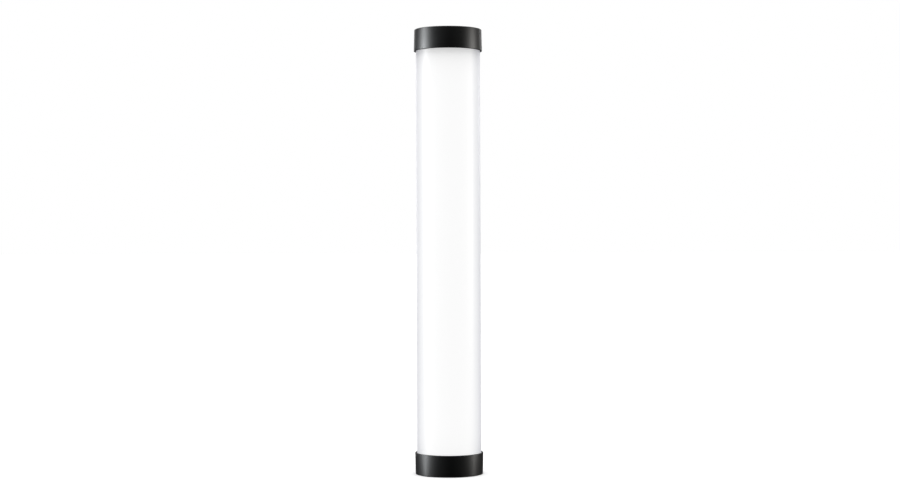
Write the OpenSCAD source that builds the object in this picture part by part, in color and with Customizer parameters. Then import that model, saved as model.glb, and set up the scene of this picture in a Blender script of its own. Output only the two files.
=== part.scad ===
// Battery-powered LED light tube.
//
// An opal diffuser and a black rear housing clip on to an aluminium spine and form one round tube.
// An end plate is screwed to each end of the spine, and an end cap closes it and holds the tube's rim.
// The LED board sits on the front of the spine. The cells and the driver board lie behind it, and the
// control board hangs in the rear housing.
// The tube stands upright along +Z, with the centre of its base at the origin. It shines towards -Y,
// and its control panel faces +Y. Sizes are in millimetres.

/* [Tube] */
// Length over both end caps
overall_length = 260; // [258:1:330]
// Outside diameter of the diffuser and the rear housing
tube_diameter = 37.6; // [37:0.2:46]
// Wall of the opal diffuser
diffuser_wall = 1.6; // [1.2:0.1:2]
// Angle that the diffuser covers each side of the front
diffuser_half_angle = 112; // [108:1:115]
// Wall of the rear housing
housing_wall = 2; // [1.6:0.1:2.4]
// Gap along each seam between the diffuser and the rear housing, as an angle
seam_angle = 0.5; // [0.3:0.1:1]

/* [End caps] */
// Height of each cap, along the tube
cap_height = 12.6; // [12:0.2:16]
// How far the cap's rim stands out from the tube
cap_step = 1.2; // [1:0.1:2]
// How much the cap's radius shrinks from its rim to its end
cap_draft = 0.3; // [0:0.05:0.4]
// Thickness of the cap's end face
cap_face = 2.6; // [2.4:0.1:3.2]
// Chamfer round the cap's end
cap_chamfer = 0.6; // [0.2:0.1:0.8]
// Gap between the tube and the cap's bore
cap_clearance = 0.15; // [0.1:0.05:0.3]

/* [End plates and threads] */
// Thickness of each end plate
plate_thickness = 2.8; // [2.6:0.1:3.4]
// Thickness of the sealing ring between the end plate and the tube
gasket_thickness = 1; // [0.6:0.1:1.4]
// Outside radius of the end plate's boss
boss_radius = 5.6; // [5.2:0.1:5.7]
// Length of the thread insert
insert_length = 9; // [8:0.5:9.5]
// Outside radius of the thread insert
insert_radius = 4.2; // [3.8:0.1:4.6]
// Radius of the thread's bore, for a 1/4 inch 20 tpi screw
thread_radius = 2.55; // [2.5:0.05:2.7]

/* [Spine] */
// Distance of the spine's front face in front of the tube's axis
spine_setback = 7.6; // [7.4:0.1:8]
// Thickness of the spine's plate and walls
spine_wall = 1.6; // [1.4:0.1:1.8]
// Distance of the screw channels from the centre plane
channel_x = 12; // [11.8:0.1:12.2]
// Outside radius of a screw channel
channel_radius = 2.2; // [2:0.1:2.3]

/* [Light engine] */
// Width of the LED board
led_board_width = 22; // [18:1:24]
// Thickness of the LED board
led_board_thickness = 1; // [0.8:0.1:1.6]
// Side of one LED package
led_size = 5; // [3:0.5:5]
// Distance between LEDs along the tube
led_pitch = 8; // [7:0.5:14]
// Distance of each LED row from the centre plane
led_row_x = 5; // [5:0.5:7]

/* [Battery] */
// Diameter of one cell
cell_diameter = 18.4; // [14:0.1:18.8]
// Length of one cell
cell_length = 65; // [50:0.5:66]
// Gap between the cells and the spine's plate
cell_clearance = 1; // [0.8:0.1:1.2]

/* [Control panel] */
// Depth of the flat panel below the round of the housing
panel_depth = 1.8; // [1.6:0.1:2]
// Length of the flat panel
panel_length = 98; // [98:1:100]
// Diameter of a button
button_diameter = 7; // [5:0.2:8]
// Travel of a button
button_travel = 0.4; // [0.25:0.05:0.4]
// Distance between buttons along the tube
button_pitch = 10.5; // [10:0.1:10.6]
// Height that a button stands above the panel
button_proud = 0.35; // [0.2:0.05:0.5]
// Width of the display window
window_width = 10.3; // [9.5:0.1:11]
// Height of the display window
window_height = 27.1; // [22:0.1:27.4]
// Width of the port cover
cover_width = 10.4; // [10:0.1:13]
// Height of the port cover
cover_height = 13.6; // [12.5:0.1:15]

/* [Hidden] */
$fn = 64;

// Clearances
slip = 0.05;       // a pocket round what sits in it
screw_fit = 0.02;  // a tapped hole round its screw
seat_gap = 0.2;    // a rail in its groove
inner_gap = 0.4;   // what lies inside the tube, from its wall

// The tube's circles
tube_r = tube_diameter / 2;
diffuser_r = tube_r - diffuser_wall;
housing_r = tube_r - housing_wall;
housing_half_angle = 180 - diffuser_half_angle - seam_angle;
cap_rim_r = tube_r + cap_step;
cap_end_r = cap_rim_r - cap_draft;
cap_bore_r = tube_r + cap_clearance;

// Places along the tube
plate_z = cap_face;
spine_z0 = plate_z + plate_thickness;
spine_z1 = overall_length - spine_z0;
tube_z0 = spine_z0 + gasket_thickness;
tube_z1 = overall_length - tube_z0;

// Cap details
cap_rim_chamfer = 0.3;
cap_hole_r = boss_radius + seat_gap;
cap_recess_r = 8.8;
cap_recess = 0.4;
cap_screw_offset = 9.8;  // of each cap screw from both centre planes
cap_screw_r = 1.25;
cap_screw_head_r = 2.3;
cap_screw_sunk = 0.1;
cap_screw_rim = 0.3;     // straight rim above the countersink
cap_screw_short = 0.5;   // from the screw's tip to the end plate's inner face

// End plate details
end_plate_r = cap_bore_r - 0.35;
boss_sunk = 0.4;
boss_floor = 0.9;
insert_z0 = boss_sunk;
insert_z1 = insert_z0 + insert_length;
boss_z1 = insert_z1 + boss_floor;

// Spine profile
spine_front = -spine_setback;
spine_back = spine_front + spine_wall;
spine_half = sqrt(pow(diffuser_r - inner_gap, 2) - pow(spine_setback, 2));
channel_y = [-3.9, 3.1];
channel_bore_r = 1.12;
hook_y = 3.8;
hook_height = 1;
hook_reach = 0.8;
wall_rear = 5.4;
lip_width = 1.2;
lip_rear = wall_rear + lip_width;
tongue_width = 1.2;
tongue_rear = 9.6;
tongue_x = spine_half - spine_wall / 2 - tongue_width / 2 + seat_gap;
lead_notch = [6, 9.8];
lead_notch_z1 = 10.4;

// Screws that hold the rear housing
housing_screw_inset = 21;
housing_screw_z = [housing_screw_inset, overall_length - housing_screw_inset];
housing_seat_y = 10.9;
housing_screw_r = 1;
housing_screw_head_r = 1.9;
housing_boss_r = 2.9;

// Screws that hold the end plates
plate_screw_r = 1.1;
plate_screw_head_r = 2.1;
plate_screw_length = 8;
plate_screw_head = 1.5;

// Light engine
pad_thickness = 0.25;
led_board_back = spine_front - pad_thickness;
led_board_front = led_board_back - led_board_thickness;
led_board_inset = 11;
led_board_z0 = led_board_inset;
led_board_z1 = overall_length - led_board_inset;
led_end_margin = 7;
led_rows = floor((led_board_z1 - led_board_z0 - 2 * led_end_margin) / led_pitch) + 1;
led_first_z = overall_length / 2 - (led_rows - 1) * led_pitch / 2;
led_height = 1.4;
emitter_r = 0.4 * led_size;
emitter_depth = 0.45;
sheet_thickness = 0.3;
sheet_inset = 16;
sheet_window_gap = 0.2;
sheet_half = sqrt(pow(diffuser_r - inner_gap, 2) - pow(led_board_front - sheet_thickness, 2)) - 0.1;
board_screw_count = 4;
board_screw_r = 1;
board_screw_head_r = 1.8;
board_screw_z = [for (i = [0:board_screw_count - 1])
    led_board_z0 + (led_board_z1 - led_board_z0) * (i + 0.5) / board_screw_count];

// Battery, lower end first, with its top tab just below the top end plate's boss
cell_r = cell_diameter / 2;
cell_y = spine_back + cell_clearance + cell_r;
tab_thickness = 0.3;
battery_end_gap = 2.5;
cell_z1 = overall_length - boss_z1 - battery_end_gap - tab_thickness;
cell_z0 = cell_z1 - 2 * cell_length - tab_thickness;
cell_z = [cell_z0, cell_z1 - cell_length];
strip_width = 5;
strip_y = cell_y + cell_r + 0.1;
protection_z = cell_z0 - 2.9;
protection_thickness = 1;
protection_half = [7, 5];
saddle_length = 8;
pad_length = 20;

// Control panel
panel_z0 = cap_height + 2.9;
panel_z1 = panel_z0 + panel_length;
panel_y = tube_r - panel_depth;
panel_back = panel_y - housing_wall;
panel_end_wall = 2;
port_z = panel_z0 + 8.5;
light_z = port_z + 13.2;
first_button_z = light_z + 7.3;
button_z = [for (i = [0:3]) first_button_z + i * button_pitch];  // minus, plus, menu, power
window_z = panel_z1 - 17.5;

// Buttons and switches
button_r = button_diameter / 2;
button_hole_r = button_r + 0.15;
flange_r = button_r + 0.9;
flange_thickness = 0.6;
flange_front = panel_back - 0.1 - flange_thickness;
button_chamfer = 0.4;
plunger_r = 1.65;
plunger_top = flange_front - 0.05;
plunger_proud = button_travel + 0.25;  // so that the button stops before the switch's body
plunger_held = 0.6;  // length of the plunger that stays inside the switch
plunger_length = plunger_proud + plunger_held;
switch_size = 6;
switch_height = 3;
switch_rear = plunger_top - plunger_proud;
switch_well = plunger_held + button_travel + 0.2;

// Control board
control_rear = switch_rear - switch_height;
control_thickness = 1.2;
control_front = control_rear - control_thickness;
control_half = sqrt(pow(housing_r - inner_gap, 2) - pow(control_rear, 2)) - 0.3;
control_z0 = panel_z0 + 1;
control_z1 = min(panel_z1, protection_z) - 1.2;
control_screw_x = 9.4;
control_screw_r = 0.8;
control_boss_r = 1.9;
control_screw_z = [housing_screw_inset + housing_boss_r + control_boss_r + 0.6,
    first_button_z + button_pitch, control_z1 - 2.5];

// Display
window_size = [window_width, window_height];
window_thickness = 1;
window_aperture = window_size - [2.3, 2.1];
glass_size = window_aperture + [3.5, 5];
glass_thickness = 1.4;
glass_gap = 0.3;
glass_rear = panel_back - glass_gap;
holder_wall = 1.2;
holder_size = glass_size + [1.3, -0.6];

// Charging port
usb_size = [8.94, 3.16];
usb_wall = 0.3;
usb_mouth = panel_y - 1.1;
usb_slot_gap = 0.15;
usb_tongue = [6.7, 0.7];
usb_tongue_sunk = 0.9;

// Port cover, hinged at its upper edge
cover_size = [cover_width, cover_height];
pocket_depth = 1;
pocket_gap = 0.25;
cover_thickness = 1.2;
cover_front = panel_y - pocket_depth + 0.1;
knuckle_r = cover_thickness / 2;
hinge_y = cover_front + knuckle_r;
hinge_z = port_z + cover_size[1] / 2 - knuckle_r;
cover_plug = [7.9, 2];
cover_plug_reach = 0.9;
anchor_size = [6, 3];
anchor_z = hinge_z + knuckle_r + 0.3;
anchor_stem_r = 1;
anchor_barb_r = 1.5;

// Light pipe
pipe_r = 0.8;
pipe_flange_r = 1.4;

// Driver board
main_thickness = 1.6;
main_rear = (channel_y[0] + channel_y[1]) / 2 + main_thickness / 2;
main_front = main_rear - main_thickness;
main_half = spine_half - spine_wall - 0.3;
main_z0 = boss_z1 + 1.7;
main_z1 = cell_z0 - 10.6;
ribbon_z = main_z0 + 58;
ribbon_width = 10;
ribbon_thickness = 0.3;
connector_height = 2;
battery_plug_z0 = main_z1 - 10;
battery_plug_size = [10, 5, 7];

// A box between two opposite corners
module span(low, high) {
    translate(low) cube(high - low);
}

// A rectangle between two opposite corners
module span_flat(low, high) {
    translate(low) square(high - low);
}

// The children, and their mirror image across the centre plane
module both_sides() {
    children();
    mirror([1, 0, 0]) children();
}

// The children moved from the bottom end to the top end
module at_top() {
    translate([0, 0, overall_length]) mirror([0, 0, 1]) children();
}

// A prism between two heights
module between(z0, z1) {
    translate([0, 0, z0]) linear_extrude(z1 - z0) children();
}

// A flat wedge from the tube's axis towards +Y, wider than the tube
module rear_wedge(half_angle) {
    reach = (tube_r + 2) / cos(half_angle);
    polygon([[0, 0], reach * [sin(half_angle), cos(half_angle)],
        reach * [-sin(half_angle), cos(half_angle)]]);
}

// A round bar along +Y
module rear_bar(x, z, y0, y1, r) {
    translate([x, y0, z]) rotate([-90, 0, 0]) cylinder(h = y1 - y0, r = r);
}

// A block on the rear face of a board, centred on x and z
module rear_block(x, z, y0, size) {
    span([x - size[0] / 2, y0, z - size[2] / 2], [x + size[0] / 2, y0 + size[1], z + size[2] / 2]);
}

// A rectangle with round ends, its long side along X
module stadium(size) {
    end_x = (size[0] - size[1]) / 2;
    end_r = size[1] / 2;
    end_steps = 12;
    polygon([for (side = [1, -1], k = [0:end_steps])
        let (turn = 180 * k / end_steps - 90)
        side * [end_x + end_r * cos(turn), end_r * sin(turn)]]);
}

// A stadium extruded along +Y
module rear_stadium(size, z, y0, y1) {
    translate([0, y1, z]) rotate([90, 0, 0]) linear_extrude(y1 - y0) stadium(size);
}

// A hexagon recess for a screw's key
module hexagon(r, depth) {
    cylinder(h = depth, r = r, $fn = 6);
}

function unit(v) = v / norm(v);

// A point at share t between b and c, on the smooth curve that passes a, b, c and d
function curve_point(a, b, c, d, t) =
    0.5 * (2 * b + (c - a) * t + (2 * a - 5 * b + 4 * c - d) * t * t
        + (3 * b - 3 * c + d - a) * t * t * t);

// The points of a smooth curve through a route's corners
function smooth_route(p, steps) = let (last = len(p) - 1) [
    for (i = [0:last - 1], s = [0:steps - 1])
        curve_point(p[max(i - 1, 0)], p[i], p[i + 1], p[min(i + 2, last)], s / steps),
    p[last]
];

// A round wire swept along a route that keeps clear of the X direction
module wire(route, radius, sides = 8, steps = 5) {
    path = smooth_route(route, steps);
    last = len(path) - 1;
    points = [for (i = [0:last])
        let (
            ahead = unit(path[min(i + 1, last)] - path[max(i - 1, 0)]),
            up = unit(cross(ahead, [1, 0, 0])),
            across = cross(up, ahead)
        )
        for (k = [0:sides - 1])
            path[i] + radius * (cos(360 * k / sides) * across + sin(360 * k / sides) * up)];
    skin = [for (i = [0:last - 1], k = [0:sides - 1])
        let (
            next = (k + 1) % sides,
            near = i * sides,
            far = near + sides
        )
        for (side = [[near + k, near + next, far + next], [near + k, far + next, far + k]]) side];
    ends = [
        [for (k = [sides - 1:-1:0]) k],
        [for (k = [0:sides - 1]) last * sides + k]
    ];
    polyhedron(points, concat(skin, ends));
}

// The opal arc, with the two rails that hook into the spine's grooves
module diffuser() {
    rail_in = spine_half - hook_reach;
    rail_out = diffuser_r + diffuser_wall / 4;
    color("white") between(tube_z0, tube_z1) {
        difference() {
            circle(r = tube_r);
            circle(r = diffuser_r);
            rear_wedge(180 - diffuser_half_angle);
        }
        for (left_x = [-rail_out, rail_in])
            span_flat([left_x, hook_y], [left_x + rail_out - rail_in, hook_y + hook_height]);
    }
}

// The rear housing's wall with its flat panel, before any opening is cut
module housing_wall_and_panel() {
    thick_z0 = panel_z0 - panel_end_wall;
    thick_z1 = panel_z1 + panel_end_wall;
    difference() {
        between(tube_z0, tube_z1) intersection() {
            circle(r = tube_r);
            rear_wedge(housing_half_angle);
        }
        span([-tube_r, panel_y, panel_z0], [tube_r, tube_r + 1, panel_z1]);
        between(tube_z0 - 1, thick_z0) circle(r = housing_r);
        between(thick_z1, tube_z1 + 1) circle(r = housing_r);
        between(thick_z0 - 1, thick_z1 + 1) intersection() {
            circle(r = housing_r);
            span_flat([-tube_r, -tube_r], [tube_r, panel_back]);
        }
    }
}

module housing_bosses() {
    intersection() {
        union() {
            both_sides() {
                for (z = housing_screw_z)
                    rear_bar(channel_x, z, lip_rear + 0.3, tube_r, housing_boss_r);
                for (z = control_screw_z)
                    rear_bar(control_screw_x, z, control_rear, tube_r, control_boss_r);
            }
        }
        cylinder(h = overall_length, r = housing_r + housing_wall / 3);
    }
}

module housing_tongues() {
    both_sides()
        span([tongue_x, wall_rear + seat_gap, tube_z0],
            [tongue_x + tongue_width, tongue_rear, tube_z1]);
}

// The flat outline of a panel opening, cut from one depth to another
module panel_opening(size, z, y0, y1) {
    span([-size[0] / 2, y0, z - size[1] / 2], [size[0] / 2, y1, z + size[1] / 2]);
}

module rear_housing() {
    outside = tube_r + 1;
    screw_depth = 3.6;
    screw_slide = 0.1;
    head_gap = 0.3;
    color([0.1, 0.1, 0.11]) difference() {
        union() {
            housing_wall_and_panel();
            housing_bosses();
            housing_tongues();
        }
        for (z = button_z) rear_bar(0, z, panel_back - 1, outside, button_hole_r);
        panel_opening(window_size + 2 * [slip, slip], window_z, panel_y - window_thickness - slip,
            outside);
        panel_opening(window_aperture, window_z, panel_back - 1, outside);
        rear_bar(0, light_z, panel_back - 1, outside, pipe_r + slip);
        panel_pocket();
        rear_stadium(usb_size + 2 * [usb_slot_gap, usb_slot_gap], port_z, panel_back - 1, outside);
        rear_bar(0, anchor_z + anchor_size[1] / 2, panel_back - 1, outside, anchor_stem_r + slip);
        both_sides() {
            for (z = housing_screw_z) {
                rear_bar(channel_x, z, lip_rear, outside, housing_screw_r + screw_slide);
                rear_bar(channel_x, z, housing_seat_y, outside, housing_screw_head_r + head_gap);
            }
            for (z = control_screw_z)
                rear_bar(control_screw_x, z, control_rear - 1, control_rear + screw_depth,
                    control_screw_r + screw_fit);
        }
    }
}

// The shallow pocket that the port cover and its anchor lie in
module panel_pocket() {
    half = cover_size[0] / 2 + pocket_gap;
    span([-half, panel_y - pocket_depth, port_z - cover_size[1] / 2 - pocket_gap],
        [half, panel_y + 1, anchor_z + anchor_size[1] + pocket_gap]);
}

// The four places of the cap screws
module cap_screw_places() {
    for (x = [-1, 1], y = [-1, 1]) translate([x, y, 0] * cap_screw_offset) children();
}

// An M2.5 countersunk screw, its head down, grown by a gap all round
module sunk_screw(gap, length) {
    head_height = cap_screw_head_r - cap_screw_r;
    translate([0, 0, cap_screw_sunk]) {
        cylinder(h = cap_screw_rim, r = cap_screw_head_r + gap);
        translate([0, 0, cap_screw_rim])
            cylinder(h = head_height, r1 = cap_screw_head_r + gap, r2 = cap_screw_r + gap);
        cylinder(h = length, r = cap_screw_r + gap);
    }
}

module cap() {
    outline = [
        [cap_hole_r, cap_recess],
        [cap_recess_r - cap_recess, cap_recess],
        [cap_recess_r, 0],
        [cap_end_r - cap_chamfer, 0],
        [cap_end_r, cap_chamfer],
        [cap_rim_r, cap_height - cap_rim_chamfer],
        [cap_rim_r - cap_rim_chamfer, cap_height],
        [cap_bore_r, cap_height],
        [cap_bore_r, cap_face],
        [cap_hole_r, cap_face]
    ];
    color([0.1, 0.1, 0.11]) difference() {
        rotate_extrude() polygon(outline);
        cap_screw_places() {
            sunk_screw(slip, cap_face + 1);
            translate([0, 0, -1]) cylinder(h = 1 + cap_screw_sunk + 0.1, r = cap_screw_head_r + slip);
        }
    }
}

module bottom_cap() { cap(); }
module top_cap() { at_top() cap(); }

module cap_screws() {
    color([0.25, 0.25, 0.26]) cap_screw_places() difference() {
        sunk_screw(0, cap_face + plate_thickness - cap_screw_short);
        translate([0, 0, cap_screw_sunk - 1]) hexagon(0.9, 1 + 0.8);
    }
}

module bottom_cap_screws() { cap_screws(); }
module top_cap_screws() { at_top() cap_screws(); }

module housing_screws() {
    head = 1.3;
    recess_floor = 0.5;
    tip_y = channel_y[1] + 0.6;
    color([0.25, 0.25, 0.26]) both_sides() for (z = housing_screw_z) difference() {
        union() {
            rear_bar(channel_x, z, housing_seat_y, housing_seat_y + head, housing_screw_head_r);
            rear_bar(channel_x, z, tip_y, housing_seat_y + recess_floor, housing_screw_r);
        }
        translate([channel_x, housing_seat_y + recess_floor, z]) rotate([-90, 0, 0])
            hexagon(0.85, head + 1);
    }
}

module spine_profile() {
    difference() {
        union() {
            span_flat([-spine_half, spine_front], [spine_half, spine_back]);
            both_sides() {
                span_flat([spine_half - spine_wall, spine_front], [spine_half, wall_rear]);
                span_flat([tongue_x - seat_gap - lip_width, wall_rear - 1],
                    [tongue_x - seat_gap, lip_rear]);
                for (y = channel_y) translate([channel_x, y]) circle(r = channel_radius);
            }
        }
        both_sides() {
            for (y = channel_y) translate([channel_x, y]) circle(r = channel_bore_r);
            span_flat([spine_half - hook_reach - seat_gap, hook_y - seat_gap],
                [spine_half + 1, hook_y + hook_height + seat_gap]);
        }
    }
}

module spine() {
    color("silver") difference() {
        translate([0, 0, spine_z0]) linear_extrude(spine_z1 - spine_z0) spine_profile();
        for (z = board_screw_z)
            rear_bar(0, z, spine_front - 1, spine_back + 1, board_screw_r + screw_fit);
        span([lead_notch[0], spine_front - 1, spine_z0 - 1],
            [lead_notch[1], spine_back + 0.1, lead_notch_z1]);
        both_sides() for (z = housing_screw_z)
            rear_bar(channel_x, z, channel_y[1], lip_rear + 1, housing_screw_r + screw_fit);
    }
}

module channel_places() {
    both_sides() for (y = channel_y) translate([channel_x, y, 0]) children();
}

module end_plate() {
    color("silver") difference() {
        union() {
            translate([0, 0, plate_z]) cylinder(h = plate_thickness, r = end_plate_r);
            translate([0, 0, boss_sunk]) cylinder(h = boss_z1 - boss_sunk, r = boss_radius);
        }
        translate([0, 0, boss_sunk - 1])
            cylinder(h = insert_z1 - boss_sunk + 1, r = insert_radius + screw_fit);
        channel_places() {
            translate([0, 0, plate_z - 1]) cylinder(h = plate_thickness + 2, r = plate_screw_r + 0.2);
            translate([0, 0, plate_z - 1])
                cylinder(h = plate_screw_head + 1.1, r = plate_screw_head_r + 0.15);
        }
        cap_screw_places() translate([0, 0, plate_z - 1])
            cylinder(h = plate_thickness + 2, r = cap_screw_r + screw_fit);
    }
}

module bottom_end_plate() { end_plate(); }
module top_end_plate() { at_top() end_plate(); }

module plate_screws() {
    seat = plate_z + plate_screw_head + 0.1;
    color([0.75, 0.75, 0.77]) channel_places() difference() {
        union() {
            translate([0, 0, seat - plate_screw_head])
                cylinder(h = plate_screw_head, r = plate_screw_head_r);
            translate([0, 0, seat - 0.5]) cylinder(h = plate_screw_length + 0.5, r = plate_screw_r);
        }
        translate([0, 0, plate_z - 1]) hexagon(0.9, 1.9);
    }
}

module bottom_plate_screws() { plate_screws(); }
module top_plate_screws() { at_top() plate_screws(); }

module thread_insert() {
    color([0.72, 0.71, 0.68]) translate([0, 0, insert_z0]) difference() {
        cylinder(h = insert_length, r = insert_radius);
        translate([0, 0, -1]) cylinder(h = insert_length + 2, r = thread_radius);
    }
}

module bottom_thread_insert() { thread_insert(); }
module top_thread_insert() { at_top() thread_insert(); }

module gasket() {
    inner = max(diffuser_r, housing_r) - 0.2;
    color([0.2, 0.2, 0.2]) translate([0, 0, spine_z0]) difference() {
        cylinder(h = gasket_thickness, r = tube_r - 0.1);
        translate([0, 0, -1]) cylinder(h = gasket_thickness + 2, r = inner);
    }
}

module bottom_gasket() { gasket(); }
module top_gasket() { at_top() gasket(); }

// A strip that lies on the front of the spine, with holes for the board screws
module front_strip(half_width, y0, y1, z0, z1, hole_r) {
    difference() {
        span([-half_width, y0, z0], [half_width, y1, z1]);
        for (z = board_screw_z) rear_bar(0, z, y0 - 1, y1 + 1, hole_r);
    }
}

module thermal_pad() {
    color([0.75, 0.8, 0.85])
        front_strip(led_board_width / 2, led_board_back, spine_front, led_board_z0, led_board_z1,
            board_screw_r + 0.1);
}

module led_board() {
    color([0.95, 0.95, 0.94])
        front_strip(led_board_width / 2, led_board_front, led_board_back, led_board_z0,
            led_board_z1, board_screw_r + 0.1);
}

module led_places() {
    for (i = [0:led_rows - 1]) both_sides()
        translate([led_row_x, led_board_front, led_first_z + i * led_pitch]) children();
}

module led_packages() {
    color([0.93, 0.93, 0.9]) led_places() difference() {
        span([-led_size / 2, -led_height, -led_size / 2], [led_size / 2, 0, led_size / 2]);
        rear_bar(0, 0, -led_height - 1, emitter_depth - led_height, emitter_r);
    }
}

module led_emitters() {
    color([0.96, 0.82, 0.3]) led_places()
        rear_bar(0, 0, slip - led_height, emitter_depth - led_height, emitter_r - slip);
}

module reflector_sheet() {
    window_half = led_size / 2 + sheet_window_gap;
    color([0.97, 0.97, 0.97]) difference() {
        front_strip(sheet_half, led_board_front - sheet_thickness, led_board_front, sheet_inset,
            overall_length - sheet_inset, board_screw_head_r + 0.3);
        led_places()
            span([-window_half, -1, -window_half], [window_half, 1, window_half]);
    }
}

module led_board_screws() {
    head = 0.8;
    color([0.75, 0.75, 0.77]) for (z = board_screw_z) difference() {
        union() {
            rear_bar(0, z, led_board_front - head, led_board_front, board_screw_head_r);
            rear_bar(0, z, led_board_front - 0.4, spine_back + 0.1, board_screw_r);
        }
        translate([0, led_board_front - head - 1, z]) rotate([-90, 0, 0]) hexagon(0.75, 1.5);
    }
}

// Four wires from the driver board, round the lower end of the spine, to the LED board
module led_leads() {
    wire_r = 0.4;
    board_y = main_front - wire_r;
    front_y = led_board_front - wire_r;
    color([0.8, 0.1, 0.1]) for (i = [0:3]) let (x = lead_notch[0] + 0.6 + 0.85 * i)
        wire([
            [x, board_y, main_z0 + 4],
            [x, board_y - 0.2, main_z0],
            [x, board_y - 1.6, main_z0 - 3],
            [x, spine_back - 0.6, 8.2],
            [x, spine_front, 7.8],
            [x, front_y - 0.1, led_board_z0 - 0.6],
            [x, front_y, led_board_z0 + 3]
        ], wire_r);
}

module cell(z) {
    can = cell_length - 1;
    crimp = 0.4;
    nub_r = 2.8;
    translate([0, cell_y, z]) rotate_extrude() polygon([
        [0, 0], [cell_r - crimp, 0], [cell_r, crimp],
        [cell_r, can - 4.4], [cell_r - crimp, can - 3.8], [cell_r - crimp, can - 3],
        [cell_r, can - 2.4], [cell_r, can - crimp], [cell_r - crimp, can],
        [nub_r, can], [nub_r, cell_length], [0, cell_length]
    ]);
}

module battery_cell_lower() { color([0.15, 0.35, 0.6]) cell(cell_z[0]); }
module battery_cell_upper() { color([0.15, 0.35, 0.6]) cell(cell_z[1]); }

// End tabs, the link between the cells, and the strip that brings the far end back to the
// protection board
module nickel_tabs() {
    half = strip_width / 2;
    tab_half = 4;
    strip_rear = strip_y + tab_thickness;
    top_z = cell_z1 + tab_thickness;
    board_top = protection_z + protection_thickness;
    color([0.8, 0.79, 0.76]) {
        for (z = [cell_z0 - tab_thickness, cell_z[1] - tab_thickness])
            span([-half, cell_y - tab_half, z], [half, cell_y + tab_half, z + tab_thickness]);
        span([-half, cell_y - tab_half, cell_z1], [half, strip_rear, top_z]);
        span([-half, strip_y, board_top], [half, strip_rear, top_z]);
        span([-half, cell_y + 1, board_top], [half, strip_rear, board_top + tab_thickness]);
    }
}

module protection_board() {
    top = protection_z + protection_thickness;
    chip_x = 4.6;
    chip_half = 1.6;
    chip_height = 0.9;
    color([0.05, 0.35, 0.2]) {
        span([-protection_half[0], cell_y - protection_half[1], protection_z],
            [protection_half[0], cell_y + protection_half[1], top]);
        for (x = [-chip_x, chip_x])
            span([x - chip_half, cell_y - chip_half, top],
                [x + chip_half, cell_y + chip_half, top + chip_height]);
    }
}

// Plastic saddles that carry the cells between the screw channels
module battery_saddles() {
    half = spine_half - spine_wall - 0.15;
    saddle_z = [cell_z0 + 3, cell_z[1] - saddle_length / 2, cell_z1 - saddle_length - 5];
    color([0.15, 0.15, 0.16]) for (z = saddle_z) translate([0, 0, z]) linear_extrude(saddle_length)
        difference() {
            span_flat([-half, spine_back + slip], [half, cell_y - 0.5]);
            translate([0, cell_y]) circle(r = cell_r + 0.15);
            both_sides() for (y = channel_y) translate([channel_x, y])
                circle(r = channel_radius + 0.15);
            both_sides() span_flat([channel_x, spine_back], [half + 1, channel_y[1] + 3]);
        }
}

module battery_foam_pads() {
    pad_z = [cell_z0 + 12, cell_z[1] + 8, cell_z1 - pad_length - 6];
    color([0.25, 0.25, 0.27]) for (z = pad_z) translate([0, 0, z]) linear_extrude(pad_length)
        difference() {
            intersection() {
                circle(r = housing_r - slip);
                span_flat([-6, strip_y - 1.6], [6, tube_r]);
            }
            translate([0, cell_y]) circle(r = cell_r + 0.15 + tab_thickness);
            span_flat([-strip_width / 2 - 0.3, 0], [strip_width / 2 + 0.3, strip_y + tab_thickness + slip]);
        }
}

module battery_leads() {
    wire_r = 0.7;
    plug_y = main_rear + battery_plug_size[1] / 2;
    plug_top = battery_plug_z0 + battery_plug_size[2];
    solder_y = cell_y - 2.4;
    solder = [3, solder_y, protection_z - slip];
    plug = [2.2, plug_y, plug_top + slip];
    spans = 6;                              // evenly spaced, so no two rings of the wire cross
    share = [0, 0, 0, 0.5, 1, 1, 1];        // of the way across at each point: straight at both ends
    color([0.75, 0.08, 0.08]) both_sides() wire([
        for (i = [0:spans]) [
            solder[0] + (plug[0] - solder[0]) * share[i],
            solder[1] + (plug[1] - solder[1]) * share[i],
            solder[2] + (plug[2] - solder[2]) * i / spans
        ]
    ], wire_r);
}

module main_board() {
    color([0.05, 0.3, 0.2]) span([-main_half, main_front, main_z0], [main_half, main_rear, main_z1]);
}

inductor_places = [[-6, 14], [-6, 24], [6, 30]];
module inductors() {
    base = [7.4, 1, 7.4];
    core_r = 3.4;
    height = 4.2;
    color([0.2, 0.2, 0.22]) for (p = inductor_places) {
        rear_block(p[0], main_z0 + p[1], main_rear, base);
        rear_bar(p[0], main_z0 + p[1], main_rear + base[1] / 2, main_rear + height, core_r);
    }
}

capacitor_places = [[6, 8], [6, 17], [-6, 34]];
module capacitors() {
    base = [6.6, 0.8, 6.6];
    can_r = 3.1;
    height = 6;
    color([0.6, 0.62, 0.65]) for (p = capacitor_places) {
        rear_block(p[0], main_z0 + p[1], main_rear, base);
        rear_bar(p[0], main_z0 + p[1], main_rear + base[1] / 2, main_rear + height, can_r);
    }
}

rear_chips = [[1, 45, 5, 5], [-6, 46, 6, 5], [7, 44, 4, 4], [-6.5, 68, 5, 6], [6.5, 68, 6, 4]];
front_chips = [[-6, 20, 6, 8], [4, 26, 5, 5], [-4, 50, 7, 7], [6, 52, 5, 6], [0, 74, 8, 5]];
module driver_chips() {
    height = 0.9;
    color([0.08, 0.08, 0.09]) {
        for (c = rear_chips)
            rear_block(c[0], main_z0 + c[1], main_rear, [c[2], height, c[3]]);
        for (c = front_chips)
            rear_block(c[0], main_z0 + c[1], main_front - height, [c[2], height, c[3]]);
    }
}

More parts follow.
